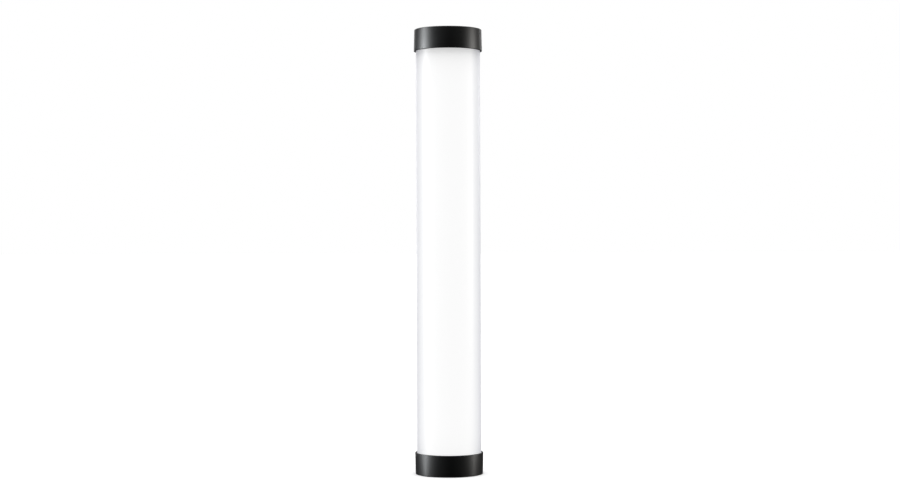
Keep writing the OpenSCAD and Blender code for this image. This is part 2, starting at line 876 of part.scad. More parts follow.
module board_connectors() {
    clamp = [ribbon_width + 2, connector_height, 3];
    clamp_z = ribbon_z - clamp[2] / 2 - 0.1;
    color([0.92, 0.9, 0.85]) {
        rear_block(0, clamp_z, main_rear, clamp);
        rear_block(0, clamp_z, control_front - connector_height, clamp);
        rear_block(0, battery_plug_z0 + battery_plug_size[2] / 2, main_rear, battery_plug_size);
    }
}

// A flat cable that bends back on itself, from the driver board to the control board
module control_ribbon() {
    y0 = main_rear + connector_height / 2;
    y1 = control_front - connector_height / 2;
    bend_r = (y1 - y0) / 2;
    straight = 6;
    color([0.9, 0.9, 0.88]) {
        for (y = [y0, y1])
            span([-ribbon_width / 2, y - ribbon_thickness / 2, ribbon_z - 0.1],
                [ribbon_width / 2, y + ribbon_thickness / 2, ribbon_z + straight]);
        translate([-ribbon_width / 2, (y0 + y1) / 2, ribbon_z + straight]) rotate([0, 90, 0])
            rotate([0, 0, 90]) rotate_extrude(angle = 180)
                translate([bend_r - ribbon_thickness / 2, 0]) square([ribbon_thickness, ribbon_width]);
    }
}

module control_board() {
    color([0.05, 0.3, 0.2]) difference() {
        span([-control_half, control_front, control_z0], [control_half, control_rear, control_z1]);
        both_sides() {
            for (z = control_screw_z)
                rear_bar(control_screw_x, z, control_front - 1, control_rear + 1,
                    control_screw_r + 0.15);
            rear_bar(channel_x, housing_screw_inset, control_front - 1, control_rear + 1,
                housing_boss_r + inner_gap);
        }
    }
}

module control_board_screws() {
    head = 0.9;
    head_r = 1.5;
    grip = 3;  // length in the boss
    color([0.75, 0.75, 0.77]) both_sides() for (z = control_screw_z) difference() {
        union() {
            rear_bar(control_screw_x, z, control_front - head, control_front, head_r);
            rear_bar(control_screw_x, z, control_front - 0.3, control_rear + grip, control_screw_r);
        }
        translate([control_screw_x, control_front - head - 1, z]) rotate([-90, 0, 0])
            hexagon(0.6, 1.5);
    }
}

module tact_switches() {
    leg = [1.2, 0.3, 0.7];
    leg_z = 2.2;
    color([0.12, 0.12, 0.13]) for (z = button_z) {
        difference() {
            rear_block(0, z, control_rear, [switch_size, switch_height, switch_size]);
            rear_bar(0, z, switch_rear - switch_well, switch_rear + 1, plunger_r + 0.15);
        }
        both_sides() for (dz = [-leg_z, leg_z])
            rear_block(switch_size / 2 + 0.5, z + dz, control_rear, leg);
    }
}

// The plunger of one switch, which its button pushes in
module plunger(z) {
    color([0.85, 0.85, 0.83])
        rear_bar(0, z, plunger_top - plunger_length, plunger_top, plunger_r);
}

module minus_plunger() { plunger(button_z[0]); }
module plus_plunger() { plunger(button_z[1]); }
module menu_plunger() { plunger(button_z[2]); }
module power_plunger() { plunger(button_z[3]); }

// A round button with a flange that keeps it behind the panel
module button(z) {
    top = panel_y + button_proud - flange_front;
    color([0.2, 0.2, 0.21]) translate([0, flange_front, z]) rotate([-90, 0, 0])
        rotate_extrude() polygon([
            [0, 0], [flange_r, 0], [flange_r, flange_thickness], [button_r, flange_thickness],
            [button_r, top - button_chamfer], [button_r - button_chamfer, top], [0, top]
        ]);
}

module minus_button() { button(button_z[0]); }
module plus_button() { button(button_z[1]); }
module menu_button() { button(button_z[2]); }
module power_button() { button(button_z[3]); }

module display_holder() {
    inside = holder_size - 2 * [holder_wall, holder_wall];
    color([0.15, 0.15, 0.16]) difference() {
        panel_opening(holder_size, window_z, control_rear, glass_rear - glass_thickness);
        panel_opening(inside, window_z, control_rear - 1, glass_rear);
    }
}

module display_panel() {
    color([0.05, 0.06, 0.08])
        panel_opening(glass_size, window_z, glass_rear - glass_thickness, glass_rear);
}

module display_window() {
    color([0.1, 0.1, 0.12, 0.6])
        panel_opening(window_size, window_z, panel_y - window_thickness, panel_y);
}

module usb_port_shell() {
    inside = usb_size - 2 * [usb_wall, usb_wall];
    back = 0.8;
    color([0.75, 0.75, 0.77]) difference() {
        rear_stadium(usb_size, port_z, control_rear, usb_mouth);
        rear_stadium(inside, port_z, control_rear + back, usb_mouth + 1);
    }
}

module usb_port_tongue() {
    color([0.1, 0.1, 0.1])
        rear_block(0, port_z, control_rear + 0.8,
            [usb_tongue[0], usb_mouth - usb_tongue_sunk - control_rear - 0.8, usb_tongue[1]]);
}

module charge_led() {
    color([0.9, 0.9, 0.8]) rear_block(0, light_z, control_rear, [1.6, 0.8, 3.2]);
}

module charge_light_pipe() {
    color([0.9, 0.9, 0.95, 0.7]) {
        rear_bar(0, light_z, control_rear + 1.2, panel_y + 0.05, pipe_r);
        rear_bar(0, light_z, panel_back - 0.8, panel_back - 0.05, pipe_flange_r);
    }
}

// The fixed end of the port cover's rubber strap, held in the panel by its barb
module port_cover_anchor() {
    z = anchor_z + anchor_size[1] / 2;
    color([0.12, 0.12, 0.12]) {
        panel_opening(anchor_size, z, panel_y - pocket_depth + slip, panel_y);
        rear_bar(0, z, panel_back - 0.8, panel_y - pocket_depth + 0.2, anchor_stem_r);
        rear_bar(0, z, panel_back - 0.8, panel_back - 0.05, anchor_barb_r);
    }
}

module port_cover() {
    half = cover_size[0] / 2;
    color([0.12, 0.12, 0.12]) {
        span([-half, cover_front, port_z - cover_size[1] / 2],
            [half, cover_front + cover_thickness, hinge_z]);
        translate([-half, hinge_y, hinge_z]) rotate([0, 90, 0]) cylinder(h = 2 * half, r = knuckle_r);
        rear_stadium(cover_plug, port_z, cover_front - cover_plug_reach, cover_front + 0.3);
    }
}

diffuser();
rear_housing();
bottom_cap();
top_cap();
bottom_cap_screws();
top_cap_screws();
housing_screws();
spine();
bottom_end_plate();
top_end_plate();
bottom_plate_screws();
top_plate_screws();
bottom_thread_insert();
top_thread_insert();
bottom_gasket();
top_gasket();
thermal_pad();
led_board();
led_packages();
led_emitters();
reflector_sheet();
led_board_screws();
led_leads();
battery_cell_lower();
battery_cell_upper();
nickel_tabs();
protection_board();
battery_saddles();
battery_foam_pads();
battery_leads();
main_board();
inductors();
capacitors();
driver_chips();
board_connectors();
control_board();
control_board_screws();
tact_switches();
control_ribbon();
display_holder();
display_panel();
display_window();
usb_port_shell();
usb_port_tongue();
charge_led();
charge_light_pipe();
port_cover_anchor();
port_cover();
power_button();
menu_button();
plus_button();
minus_button();
power_plunger();
menu_plunger();
plus_plunger();
minus_plunger();
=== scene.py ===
"""The finish of a battery LED light tube: visible shells, trim and light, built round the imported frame."""

import math

import bmesh
import bpy
import numpy as np
from bpy.props import FloatProperty, FloatVectorProperty, PointerProperty
from bpy.types import Operator, Panel, PropertyGroup
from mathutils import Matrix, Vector


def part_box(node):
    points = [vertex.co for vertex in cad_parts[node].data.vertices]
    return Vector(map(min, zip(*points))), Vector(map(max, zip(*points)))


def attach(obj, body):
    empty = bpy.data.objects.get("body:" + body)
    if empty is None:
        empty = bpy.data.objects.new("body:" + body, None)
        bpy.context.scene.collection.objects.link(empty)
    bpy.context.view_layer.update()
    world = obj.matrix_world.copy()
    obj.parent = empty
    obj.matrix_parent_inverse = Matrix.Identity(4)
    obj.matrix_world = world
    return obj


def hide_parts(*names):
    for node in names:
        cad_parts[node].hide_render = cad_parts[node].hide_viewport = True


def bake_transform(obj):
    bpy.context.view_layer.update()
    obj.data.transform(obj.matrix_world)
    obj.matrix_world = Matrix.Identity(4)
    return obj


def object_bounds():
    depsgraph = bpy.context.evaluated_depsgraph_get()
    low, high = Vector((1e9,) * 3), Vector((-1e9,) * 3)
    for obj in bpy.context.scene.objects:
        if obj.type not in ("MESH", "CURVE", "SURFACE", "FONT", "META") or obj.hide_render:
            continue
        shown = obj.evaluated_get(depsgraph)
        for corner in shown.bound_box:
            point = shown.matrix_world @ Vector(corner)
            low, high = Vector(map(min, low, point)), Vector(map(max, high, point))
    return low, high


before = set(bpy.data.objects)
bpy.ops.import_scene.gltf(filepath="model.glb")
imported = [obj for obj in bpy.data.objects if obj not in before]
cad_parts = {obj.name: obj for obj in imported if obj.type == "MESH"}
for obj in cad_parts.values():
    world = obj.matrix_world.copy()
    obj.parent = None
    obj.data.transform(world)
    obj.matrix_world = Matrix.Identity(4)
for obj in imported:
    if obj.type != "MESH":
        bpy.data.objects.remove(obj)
CAD_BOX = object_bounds()

bl_info = {
    "name": "LED Light Tube Finish",
    "version": (1, 0, 0),
    "blender": (4, 5, 0),
    "location": "View3D > Sidebar > Light Tube",
    "description": "Builds the visible pieces, materials and stage of a battery LED light tube",
    "category": "Add Mesh",
}

MM = 0.001
TUBE, COVER = "tube", "cover"
BUTTONS = ("minus", "plus", "menu", "power")
ROUND_STEPS = 192
SAME_POINT = 2e-8                            # points closer than this are one
ON_ROUND = 0.03 * MM                         # points this near the tube's radius lie on its round
SHARP_ANGLE = math.radians(38)               # edges sharper than this are rounded


def mid_z(low, high):
    """The height of a box's middle."""
    return (low[2] + high[2]) / 2


def face_size(low, high):
    """A box's width and height, seen along Y."""
    return high[0] - low[0], high[2] - low[2]


DIFFUSER_LOW, DIFFUSER_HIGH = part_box("diffuser")
CAP_LOW, CAP_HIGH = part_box("bottom_cap")
COVER_LOW, COVER_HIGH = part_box("port_cover")
ANCHOR_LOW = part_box("port_cover_anchor")[0]
WINDOW_LOW, WINDOW_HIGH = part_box("display_window")
PORT_LOW, PORT_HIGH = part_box("usb_port_shell")
INSERT_LOW, INSERT_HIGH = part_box("bottom_thread_insert")

LENGTH = CAD_BOX[1][2] - CAD_BOX[0][2]
TUBE_R = DIFFUSER_HIGH[0]
CAP_R = CAP_HIGH[0]
CAP_H = CAP_HIGH[2] - CAP_LOW[2]
PANEL_Y = WINDOW_HIGH[1]

DIFFUSER_WALL = 1.6 * MM
RAIL_IN, RAIL_OUT = 14.15 * MM, 17.3 * MM    # the diffuser's rails, across
RAIL_LOW, RAIL_HIGH = 3.8 * MM, 4.8 * MM     # and in depth
CAP_FACE = 2.6 * MM                          # thickness of a cap's end
CAP_HOLE_R = 5.8 * MM
CAP_RECESS_R, CAP_RECESS = 8.8 * MM, 0.4 * MM
CAP_SCREW_OFFSET = 9.8 * MM                  # from both centre planes
SCREW_HEAD_R, SCREW_SHANK_R = 2.3 * MM, 1.25 * MM
SCREW_RIM, SCREW_CONE = 0.4 * MM, 1.45 * MM  # depths where a cap screw's cone starts and ends
SCREW_GAP = 0.05 * MM                        # between a cap screw and its hole
BUTTON_DISH = 0.16 * MM                      # depth of the hollow in a button's top
PLUG_WIDTH, PLUG_HEIGHT = 7.9 * MM, 2.0 * MM
FLAP_START = 0.9 * MM                        # the cover's plate, from the tip of its plug
STRAP_Y = COVER_LOW[1] + FLAP_START + 0.35 * MM
STRAP_TUCK = 0.6 * MM                        # how far the strap runs into the anchor and the cover


# ---- sizes and colours

def number(name, description, default, **limits):
    """A number, with its limits and its unit."""
    return FloatProperty(name=name, description=description, default=default, **limits)


def length(name, description, default, low, high):
    """A length, given in millimetres."""
    return number(name, description, default * MM, min=low * MM, max=high * MM, unit="LENGTH")


def colour(name, description, default):
    """A colour."""
    return FloatVectorProperty(name=name, description=description, subtype="COLOR",
                               default=default, min=0, max=1)


class TubeSizes(PropertyGroup):
    """Sizes that the finish adds to the frame."""

    cap_rim_round: length("Cap rim round", "Radius along the cap's inner rim", 0.35, 0.1, 0.8)
    cap_end_round: length("Cap end round", "Radius along the cap's outer edge", 0.35, 0.2, 1.2)
    cap_draft: length("Cap draft", "How much the cap's radius shrinks towards its end", 0.3, 0, 0.5)
    icon_line: length("Icon line", "Width of the lines in the button icons", 0.34, 0.2, 0.6)
    icon_depth: length("Icon relief", "How far the icons stand out of the buttons", 0.03, 0.01, 0.1)
    thread_pitch: length("Thread pitch", "Distance between the insert's thread turns", 1.27, 1, 2)


class TubeColours(PropertyGroup):
    """Colours and light of the finish."""

    opal: colour("Opal", "Colour of the diffuser", (0.80, 0.80, 0.80))
    cap_black: colour("Cap black", "Colour of the caps", (0.0025, 0.0027, 0.0029))
    shell_black: colour("Shell black", "Colour of the rear housing", (0.006, 0.0062, 0.0066))
    icon_grey: colour("Icon grey", "Colour of the printed icons", (0.62, 0.62, 0.62))
    display_blue: colour("Display", "Colour of the lit display", (0.55, 0.82, 1.0))
    glow: number("Glow", "Strength of the light that the diffuser gives off", 0.80, min=0, max=4)
    # cap_shade sets the length of the painted shadow of the caps on the diffuser's glow
    cap_shade: length("Cap shade", "Distance over which the glow fades towards each cap", 5, 1, 40)


class StageSettings(PropertyGroup):
    """The camera, the floor and the lights."""

    camera_distance: number(
        "Camera distance", "From the tube's axis to the camera", 1.0, min=0.4, max=4, unit="LENGTH")
    lens: number("Lens", "Focal length in millimetres, on a sensor 36 mm wide", 68.2, min=20, max=300)
    roll: number("Roll", "Turn of the camera about its own axis", math.radians(0.2), subtype="ANGLE")
    shift_x: number("Shift across", "Camera shift, as a share of the width", 0.0016)
    shift_y: number("Shift up", "Camera shift, as a share of the width", 0.0019)
    floor_size: number("Floor size", "Side of the floor", 200, min=2, unit="LENGTH")
    backdrop: number("Backdrop", "Brightness of what the camera sees past the floor", 1.0, min=0)
    fill: number("Fill", "Brightness of the light from all round the tube", 0.04, min=0)


def sizes():
    """The scene's sizes."""
    return bpy.context.scene.light_tube_sizes


def colours():
    """The scene's colours."""
    return bpy.context.scene.light_tube_colours


def stage_settings():
    """The scene's camera, floor and light settings."""
    return bpy.context.scene.light_tube_stage


# ---- surfaces

def grid_faces(rows, columns, wrap_rows):
    """Four-sided faces over a grid of points that closes round its columns, and over its rows if asked."""
    i = np.arange(rows if wrap_rows else rows - 1)[:, None]
    j = np.arange(columns)[None, :]
    next_i, next_j = (i + 1) % rows, (j + 1) % columns
    corners = [i * columns + j, i * columns + next_j, next_i * columns + next_j, next_i * columns + j]
    return np.stack(np.broadcast_arrays(*corners), axis=-1).reshape(-1, 4)


def new_object(name, points, faces):
    """An object at the origin whose mesh has these points, in metres, and these faces."""
    mesh = bpy.data.meshes.new(name)
    mesh.from_pydata(np.asarray(points, float).reshape(-1, 3).tolist(), [], faces)
    made = bpy.data.objects.new(name, mesh)
    bpy.context.scene.collection.objects.link(made)
    return made


def tidy_mesh(piece, smooth_angle=32.0):
    """Merges doubled points, turns the faces outwards, and shades smooth across gentle edges."""
    work = bmesh.new()
    work.from_mesh(piece.data)
    bmesh.ops.remove_doubles(work, verts=work.verts, dist=SAME_POINT)
    bmesh.ops.dissolve_degenerate(work, edges=work.edges, dist=SAME_POINT)
    bmesh.ops.recalc_face_normals(work, faces=work.faces)
    work.to_mesh(piece.data)
    work.free()
    piece.data.polygons.foreach_set("use_smooth", [True] * len(piece.data.polygons))
    piece.data.set_sharp_from_angle(angle=math.radians(smooth_angle))
    piece.data.update()
    return piece


def surface(name, points, wrap_rows=False, smooth_angle=32.0):
    """Rings of points as a mesh. Ends that don't meet are closed with one flat face each."""
    points = np.asarray(points, float)
    rows, columns = points.shape[:2]
    faces = grid_faces(rows, columns, wrap_rows).tolist()
    if not wrap_rows:
        faces.append(list(range(columns)))
        faces.append(list(range((rows - 1) * columns, rows * columns)))
    return tidy_mesh(new_object(name, points, faces), smooth_angle)


def rounded_path(corners, radii, steps=6):
    """A closed outline whose corners become arcs, of the given radii, that touch both of their sides."""
    corners = np.asarray(corners, float)
    radii = np.broadcast_to(np.asarray(radii, float), (len(corners),))
    parts = []
    for before, here, after, radius in zip(np.roll(corners, 1, 0), corners, np.roll(corners, -1, 0), radii):
        back, ahead = before - here, after - here
        back, ahead = back / np.linalg.norm(back), ahead / np.linalg.norm(ahead)
        half = math.acos(float(np.clip(back @ ahead, -1, 1))) / 2
        if radius <= 0 or half > math.radians(89):
            parts.append(here[None])
            continue
        middle = back + ahead
        centre = here + middle / np.linalg.norm(middle) * radius / math.sin(half)
        start = here + back * radius / math.tan(half) - centre
        end = here + ahead * radius / math.tan(half) - centre
        angle = math.acos(float(np.clip(start @ end / radius ** 2, -1, 1)))
        share = np.linspace(0, 1, steps)[:, None]
        arc = (np.sin((1 - share) * angle) * start + np.sin(share * angle) * end) / math.sin(angle)
        parts.append(centre + arc)
    return np.concatenate(parts)


def revolved(name, profile, centre=(0, 0, 0), along="z", closed=True, steps=ROUND_STEPS):
    """A profile of (radius, height) turned round an axis: x = radius cos a, y = radius sin a, z = height."""
    profile = np.asarray(profile, float)
    turn = np.linspace(0, 2 * math.pi, steps, endpoint=False)
    across, beside = profile[:, :1] * np.cos(turn), profile[:, :1] * np.sin(turn)
    level = np.broadcast_to(profile[:, 1:], across.shape)
    axes = (across, beside, level) if along == "z" else (across, level, -beside)
    points = np.stack(axes, -1) + np.asarray(centre, float)
    return surface(name, points, wrap_rows=closed)


def rounded_rectangle(width, height, radius, inset=0.0, steps=8):
    """The outline of a rectangle with round corners, moved inwards by an inset, as (x, z) points."""
    inner_r = max(radius - inset, 1e-6)
    centres = np.array([[1, 1], [-1, 1], [-1, -1], [1, -1]]) * (np.array([width, height]) / 2 - radius)
    quarter = np.linspace(0, math.pi / 2, steps)
    turn = quarter[None, :] + np.arange(4)[:, None] * math.pi / 2
    arcs = inner_r * np.stack([np.cos(turn), np.sin(turn)], -1)
    return (centres[:, None, :] + arcs).reshape(-1, 2)


def upright_ring(outline, y, centre_z):
    """An outline of (x, z) points, moved up and set at one depth."""
    return np.column_stack([outline[:, 0], np.full(len(outline), y), outline[:, 1] + centre_z])


def level_ring(outline, z):
    """An outline of (x, y) points set at one height."""
    return np.column_stack([outline, np.full(len(outline), z)])


def soft_plate(name, size, radius, y0, y1, centre_z, round_front=0.0, round_back=0.0):
    """A plate between two depths: its outline runs along Y and draws in on quarter circles at both edges."""
    quarter = np.linspace(0, math.pi / 2, 6)
    back = [(round_back * (1 - math.sin(t)), y0 + round_back * (1 - math.cos(t))) for t in quarter]
    front = [(round_front * (1 - math.cos(t)), y1 - round_front * (1 - math.sin(t))) for t in quarter]
    levels = (back if round_back else [(0, y0)]) + (front if round_front else [(0, y1)])
    rings = [upright_ring(rounded_rectangle(*size, radius, inset), y, centre_z) for inset, y in levels]
    return surface(name, rings)


def prism(name, outline, z0, z1):
    """A closed outline of (x, y) points carried straight up from one height to another."""
    return surface(name, [level_ring(outline, z) for z in (z0, z1)])


def block(name, low, high):
    """A plain box between two corners."""
    outline = [(low[0], low[1]), (high[0], low[1]), (high[0], high[1]), (low[0], high[1])]
    return prism(name, outline, low[2], high[2])


def carve(piece, cutters):
    """Takes each cutter away from a piece and removes the cutters."""
    for number, cutter in enumerate(cutters):
        cut = piece.modifiers.new(f"cut_{number}", "BOOLEAN")
        cut.operation = "DIFFERENCE"
        cut.solver = "EXACT"
        cut.object = cutter
    settle(piece)
    for cutter in cutters:
        bpy.data.objects.remove(cutter)
    return piece


def soften(piece, width):
    """Rounds a piece's sharp edges."""
    bevel = piece.modifiers.new("soft_edges", "BEVEL")
    bevel.width = width
    bevel.segments = 2
    bevel.limit_method = "ANGLE"
    bevel.angle_limit = SHARP_ANGLE
    bevel.use_clamp_overlap = True
    bevel.harden_normals = False
    return settle(piece)


def baked(piece):
    """Replaces a piece's mesh with what its modifiers make of it."""
    evaluated = piece.evaluated_get(bpy.context.evaluated_depsgraph_get())
    made = bpy.data.meshes.new_from_object(evaluated)
    piece.modifiers.clear()
    piece.data = made
    return piece


def settle(piece):
    """Bakes a piece's modifiers and tidies the mesh that they made."""
    return tidy_mesh(baked(piece))


def refined(node, name, edge):
    """A merged copy of a CAD node's mesh with its flat stretches rejoined and its sharp edges rounded."""
    piece = bpy.data.objects.new(name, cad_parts[node].data.copy())
    piece.data.materials.clear()
    bpy.context.scene.collection.objects.link(piece)
    work = bmesh.new()
    work.from_mesh(piece.data)
    bmesh.ops.remove_doubles(work, verts=work.verts, dist=1e-6)
    bmesh.ops.dissolve_limit(work, angle_limit=math.radians(0.5), verts=work.verts, edges=work.edges)
    work.to_mesh(piece.data)
    work.free()
    return face_weighted(tidy_mesh(soften(piece, edge)))


def face_weighted(piece):
    """Large flat faces keep their own normals, so the narrow rounded edges carry all of the turn."""
    weighted = piece.modifiers.new("face_weight", "WEIGHTED_NORMAL")
    weighted.mode = "FACE_AREA"
    weighted.weight = 100
    weighted.keep_sharp = True
    return baked(piece)


def vectors(items, attribute, count, kind=np.float32):
    """One attribute of every item of a mesh, as rows of a given length."""
    values = np.empty(len(items) * count, dtype=kind)
    items.foreach_get(attribute, values)
    return values.reshape(-1, count) if count > 1 else values


def with_points(piece, points):
    """Gives a piece's mesh other points, in the same order."""
    piece.data.vertices.foreach_set("co", points.ravel())
    piece.data.update()
    return piece


def round_shading(piece, radius):
    """Upright faces that lie on the tube's round take a true cylinder's normals: (x, y) / radius."""
    mesh = piece.data
    points = vectors(mesh.vertices, "co", 3)[vectors(mesh.loops, "vertex_index", 1, np.int32)]
    on_round = np.abs(np.hypot(points[:, 0], points[:, 1]) - radius) < ON_ROUND
    whole = np.logical_and.reduceat(on_round, vectors(mesh.polygons, "loop_start", 1, np.int32))
    upright = np.abs(vectors(mesh.polygons, "normal", 3)[:, 2]) < 0.05
    chosen = np.repeat(whole & upright, vectors(mesh.polygons, "loop_total", 1, np.int32))
    outward = points[chosen] * (1, 1, 0)
    normals = vectors(mesh.corner_normals, "vector", 3)
    normals[chosen] = outward / np.linalg.norm(outward, axis=1, keepdims=True)
    mesh.normals_split_custom_set(normals.tolist())
    return piece


def joined(name, pieces):
    """Several meshes as one object."""
    work = bmesh.new()
    for piece in pieces:
        work.from_mesh(piece.data)
        bpy.data.objects.remove(piece)
    made = new_object(name, [], [])
    work.to_mesh(made.data)
    work.free()
    return tidy_mesh(made)


def finish_only(piece, finish):
    """Gives a piece one finish."""
    piece.data.materials.clear()
    piece.data.materials.append(Finishes.get(finish))


def place(piece, body, finish, slot, *nodes):
    """Gives a piece its finish and its body, and hides the CAD nodes it stands for."""
    finish_only(piece, finish)
    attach(piece, body)
    if nodes:
        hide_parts(*nodes)
    return piece


def place_refined(node, name, edge, finish, slot):
    """Puts a CAD node with its sharp edges rounded in the place of the plain one, on the tube."""
    return place(refined(node, name, edge), TUBE, finish, slot, node)


# ---- materials

class Value:
    """A node socket on which arithmetic adds Math nodes."""

    def __init__(self, paint, socket):
        self.paint, self.socket = paint, socket

    def _with(self, operation, first, second):
        return self.paint.maths(operation, first, second)

    def __add__(self, other):
        return self._with("ADD", self, other)

    def __sub__(self, other):
        return self._with("SUBTRACT", self, other)

    def __rsub__(self, other):
        return self._with("SUBTRACT", other, self)

    def __mul__(self, other):
        return self._with("MULTIPLY", self, other)


def opaque(shade):
    """A colour with full alpha, or a linked value as it is."""
    return shade if isinstance(shade, Value) else (*shade[:3], 1.0)


class Paint:
    """A material under construction."""

    def __init__(self, name, base, **constants):
        self.material = bpy.data.materials.new(name)
        self.material.use_nodes = True
        self.tree = self.material.node_tree
        self.shader = self.tree.nodes["Principled BSDF"]
        self.shader.inputs["Base Color"].default_value = opaque(base)
        for socket, value in constants.items():
            self.shader.inputs[socket.replace("_", " ")].default_value = value

    def node(self, kind, settings=None, inputs=None, output=0):
        """Adds a node: its settings first, then the values or links of its sockets."""
        made = self.tree.nodes.new(kind)
        for name, value in (settings or {}).items():
            if name == "stops":
                self._stops(made.color_ramp, value)
            else:
                setattr(made, name, value)
        for name, value in (inputs or {}).items():
            if isinstance(value, Value):
                self.tree.links.new(value.socket, made.inputs[name])
            else:
                made.inputs[name].default_value = value
        return Value(self, made.outputs[output])

    @staticmethod
    def _stops(ramp, stops):
        while len(ramp.elements) < len(stops):
            ramp.elements.new(1.0)
        for element, (position, colour) in zip(ramp.elements, stops):
            element.position = position
            element.color = (*colour, 1.0)

    def maths(self, operation, *values):
        """A Math node on one value or two."""
        return self.node("ShaderNodeMath", {"operation": operation}, dict(enumerate(values)))

    def where(self, scale=(1, 1, 1)):
        """The place on the object, in metres, scaled."""
        coordinates = self.node("ShaderNodeTexCoord", output="Object")
        return self.node("ShaderNodeMapping", None, {"Vector": coordinates, "Scale": scale})

    def axis(self, which):
        """The X, Y or Z of the place on the object, in metres."""
        coordinates = self.node("ShaderNodeTexCoord", output="Object")
        return self.node("ShaderNodeSeparateXYZ", None, {0: coordinates}, output=which)

    def noise(self, scale, detail=3.0, roughness=0.55, where=None):
        """Smooth noise from 0 to 1, with this many waves to a metre."""
        return self.node("ShaderNodeTexNoise", None, {
            "Vector": where or self.where(), "Scale": scale, "Detail": detail, "Roughness": roughness})

    def spots(self, scale):
        """Distance to the nearest of scattered points, with this many to a metre."""
        return self.node("ShaderNodeTexVoronoi", None, {"Vector": self.where(), "Scale": scale}, "Distance")

    def spread(self, value, low, high, start=0.0, end=1.0):
        """A value between start and end mapped to a range, and held inside it."""
        return self.node("ShaderNodeMapRange", None, {
            "Value": value, "From Min": start, "From Max": end, "To Min": low, "To Max": high})

    def mix(self, factor, first, second):
        """A colour between two others."""
        return self.node("ShaderNodeMix", {"data_type": "RGBA"},
                         {0: factor, 6: opaque(first), 7: opaque(second)}, output=2)

    def shades(self, factor, base, dark, light, lift=0.0):
        """A colour between a darker and a lighter shade of itself."""
        return self.mix(factor, [c * dark for c in base], [min(1.0, c * light + lift) for c in base])

    def bump(self, height, strength, distance):
        """Relief from a height value."""
        self.feed(Normal=self.node("ShaderNodeBump", None, {
            "Height": height, "Strength": strength, "Distance": distance}))

    def feed(self, **links):
        """Links values to the shader's own sockets and gives the material back."""
        for socket, value in links.items():
            self.tree.links.new(value.socket, self.shader.inputs[socket.replace("_", " ")])
        return self.material


def moulded_plastic(name, base, rough, grain=9000.0):
    """Satin moulded plastic: an even, fine spark-eroded grain, and a slow drift in its gloss."""
    paint = Paint(name, base, IOR=1.5)
    grain_height = paint.noise(grain, detail=2.0)
    drift = paint.noise(70.0, detail=4.0)
    paint.bump(grain_height, 0.35, 0.01 * MM)
    tint = paint.shades(drift, base, 0.85, 1.2, lift=0.0008)
    return paint.feed(Base_Color=tint, Roughness=paint.spread(drift, rough - 0.04, rough + 0.05))


def opal_plastic(name):
    """Opal diffuser: a glossy white glowing body, brightest at the front, whose glow carries painted shade
    that dims it beside the caps and towards the back.

    The glow falls as exp(-distance / cap_shade) beside a cap, more at the top and towards the edges: partly
    the LEDs stopping short of the ends, partly a painted shadow of the caps.
    """
    palette = colours()
    paint = Paint(name, palette.opal, IOR=1.49, Emission_Strength=palette.glow, Specular_IOR_Level=0.12)
    height = paint.axis("Z")
    middle, lit_half = LENGTH / 2, LENGTH / 2 - CAP_H
    from_middle = paint.maths("ABSOLUTE", height - middle)
    to_cap = paint.maths("MAXIMUM", lit_half - from_middle, 0.0)
    decay = paint.maths("EXPONENT", to_cap * (-1 / palette.cap_shade))
    front = paint.axis("Y") * (-1 / TUBE_R)
    # painted shadow of the caps: stronger at the top and towards the diffuser's edges
    shade = paint.spread(height, 0.05, 0.30, 0.0, LENGTH) + paint.spread(front, 0.25, 0.0, 0.0, 0.85)
    # painted edge shade: the glow dims and turns a cool grey from the front of the diffuser towards its back
    # edges
    across = paint.node("ShaderNodeValToRGB", {"stops": [
        (0.30, (0.34, 0.345, 0.37)), (0.50, (0.52, 0.525, 0.565)), (0.575, (0.62, 0.625, 0.67)),
        (0.69, (0.74, 0.745, 0.775)), (0.75, (0.835, 0.84, 0.86)), (0.80, (0.885, 0.89, 0.905)),
        (0.85, (0.95, 0.95, 0.955)), (0.90, (1.0, 1.0, 1.0))]},
        {"Fac": paint.spread(front, 0.0, 1.0, -1.0, 1.0)})
    # the emission colour: the painted edge shade, dimmed by the painted shadow beside the caps
    glow = paint.node(
        "ShaderNodeVectorMath", {"operation": "SCALE"}, {0: across, "Scale": 1.0 - decay * shade})
    drift = paint.noise(60.0, detail=4.0)
    tint = paint.shades(drift, palette.opal, 0.985, 1.0)
    paint.bump(paint.noise(2600.0), 0.1, 0.003 * MM)
    rough = paint.spread(drift, 0.34, 0.40)
    return paint.feed(Base_Color=tint, Emission_Color=glow, Roughness=rough)


def metal(name, base, rough, streak=(1, 1, 0.02)):
    """Worked metal: fine streaks along the direction in which it was drawn or turned."""
    paint = Paint(name, base, Metallic=1.0, Roughness=rough)
    streaks = paint.noise(1800.0, detail=5.0, where=paint.where(streak))
    stain = paint.noise(90.0)
    paint.bump(streaks, 0.3, 0.003 * MM)
    tint = paint.shades(stain, base, 0.9, 1.05)
    return paint.feed(Base_Color=tint, Roughness=paint.spread(streaks, rough - 0.07, rough + 0.09))


def soft_rubber(name, base, rough=0.62):
    """Matt silicone: dull, with a faint dusting and soft relief."""
    paint = Paint(name, base, IOR=1.42, Specular_IOR_Level=0.35)
    fine = paint.noise(5200.0)
    dust = paint.noise(420.0, detail=6.0, roughness=0.7)
    paint.bump(fine, 0.4, 0.008 * MM)
    tint = paint.mix(paint.maths("POWER", dust, 3.0), base, [c + 0.02 for c in base])
    return paint.feed(Base_Color=tint, Roughness=paint.spread(dust, rough - 0.08, rough + 0.1))


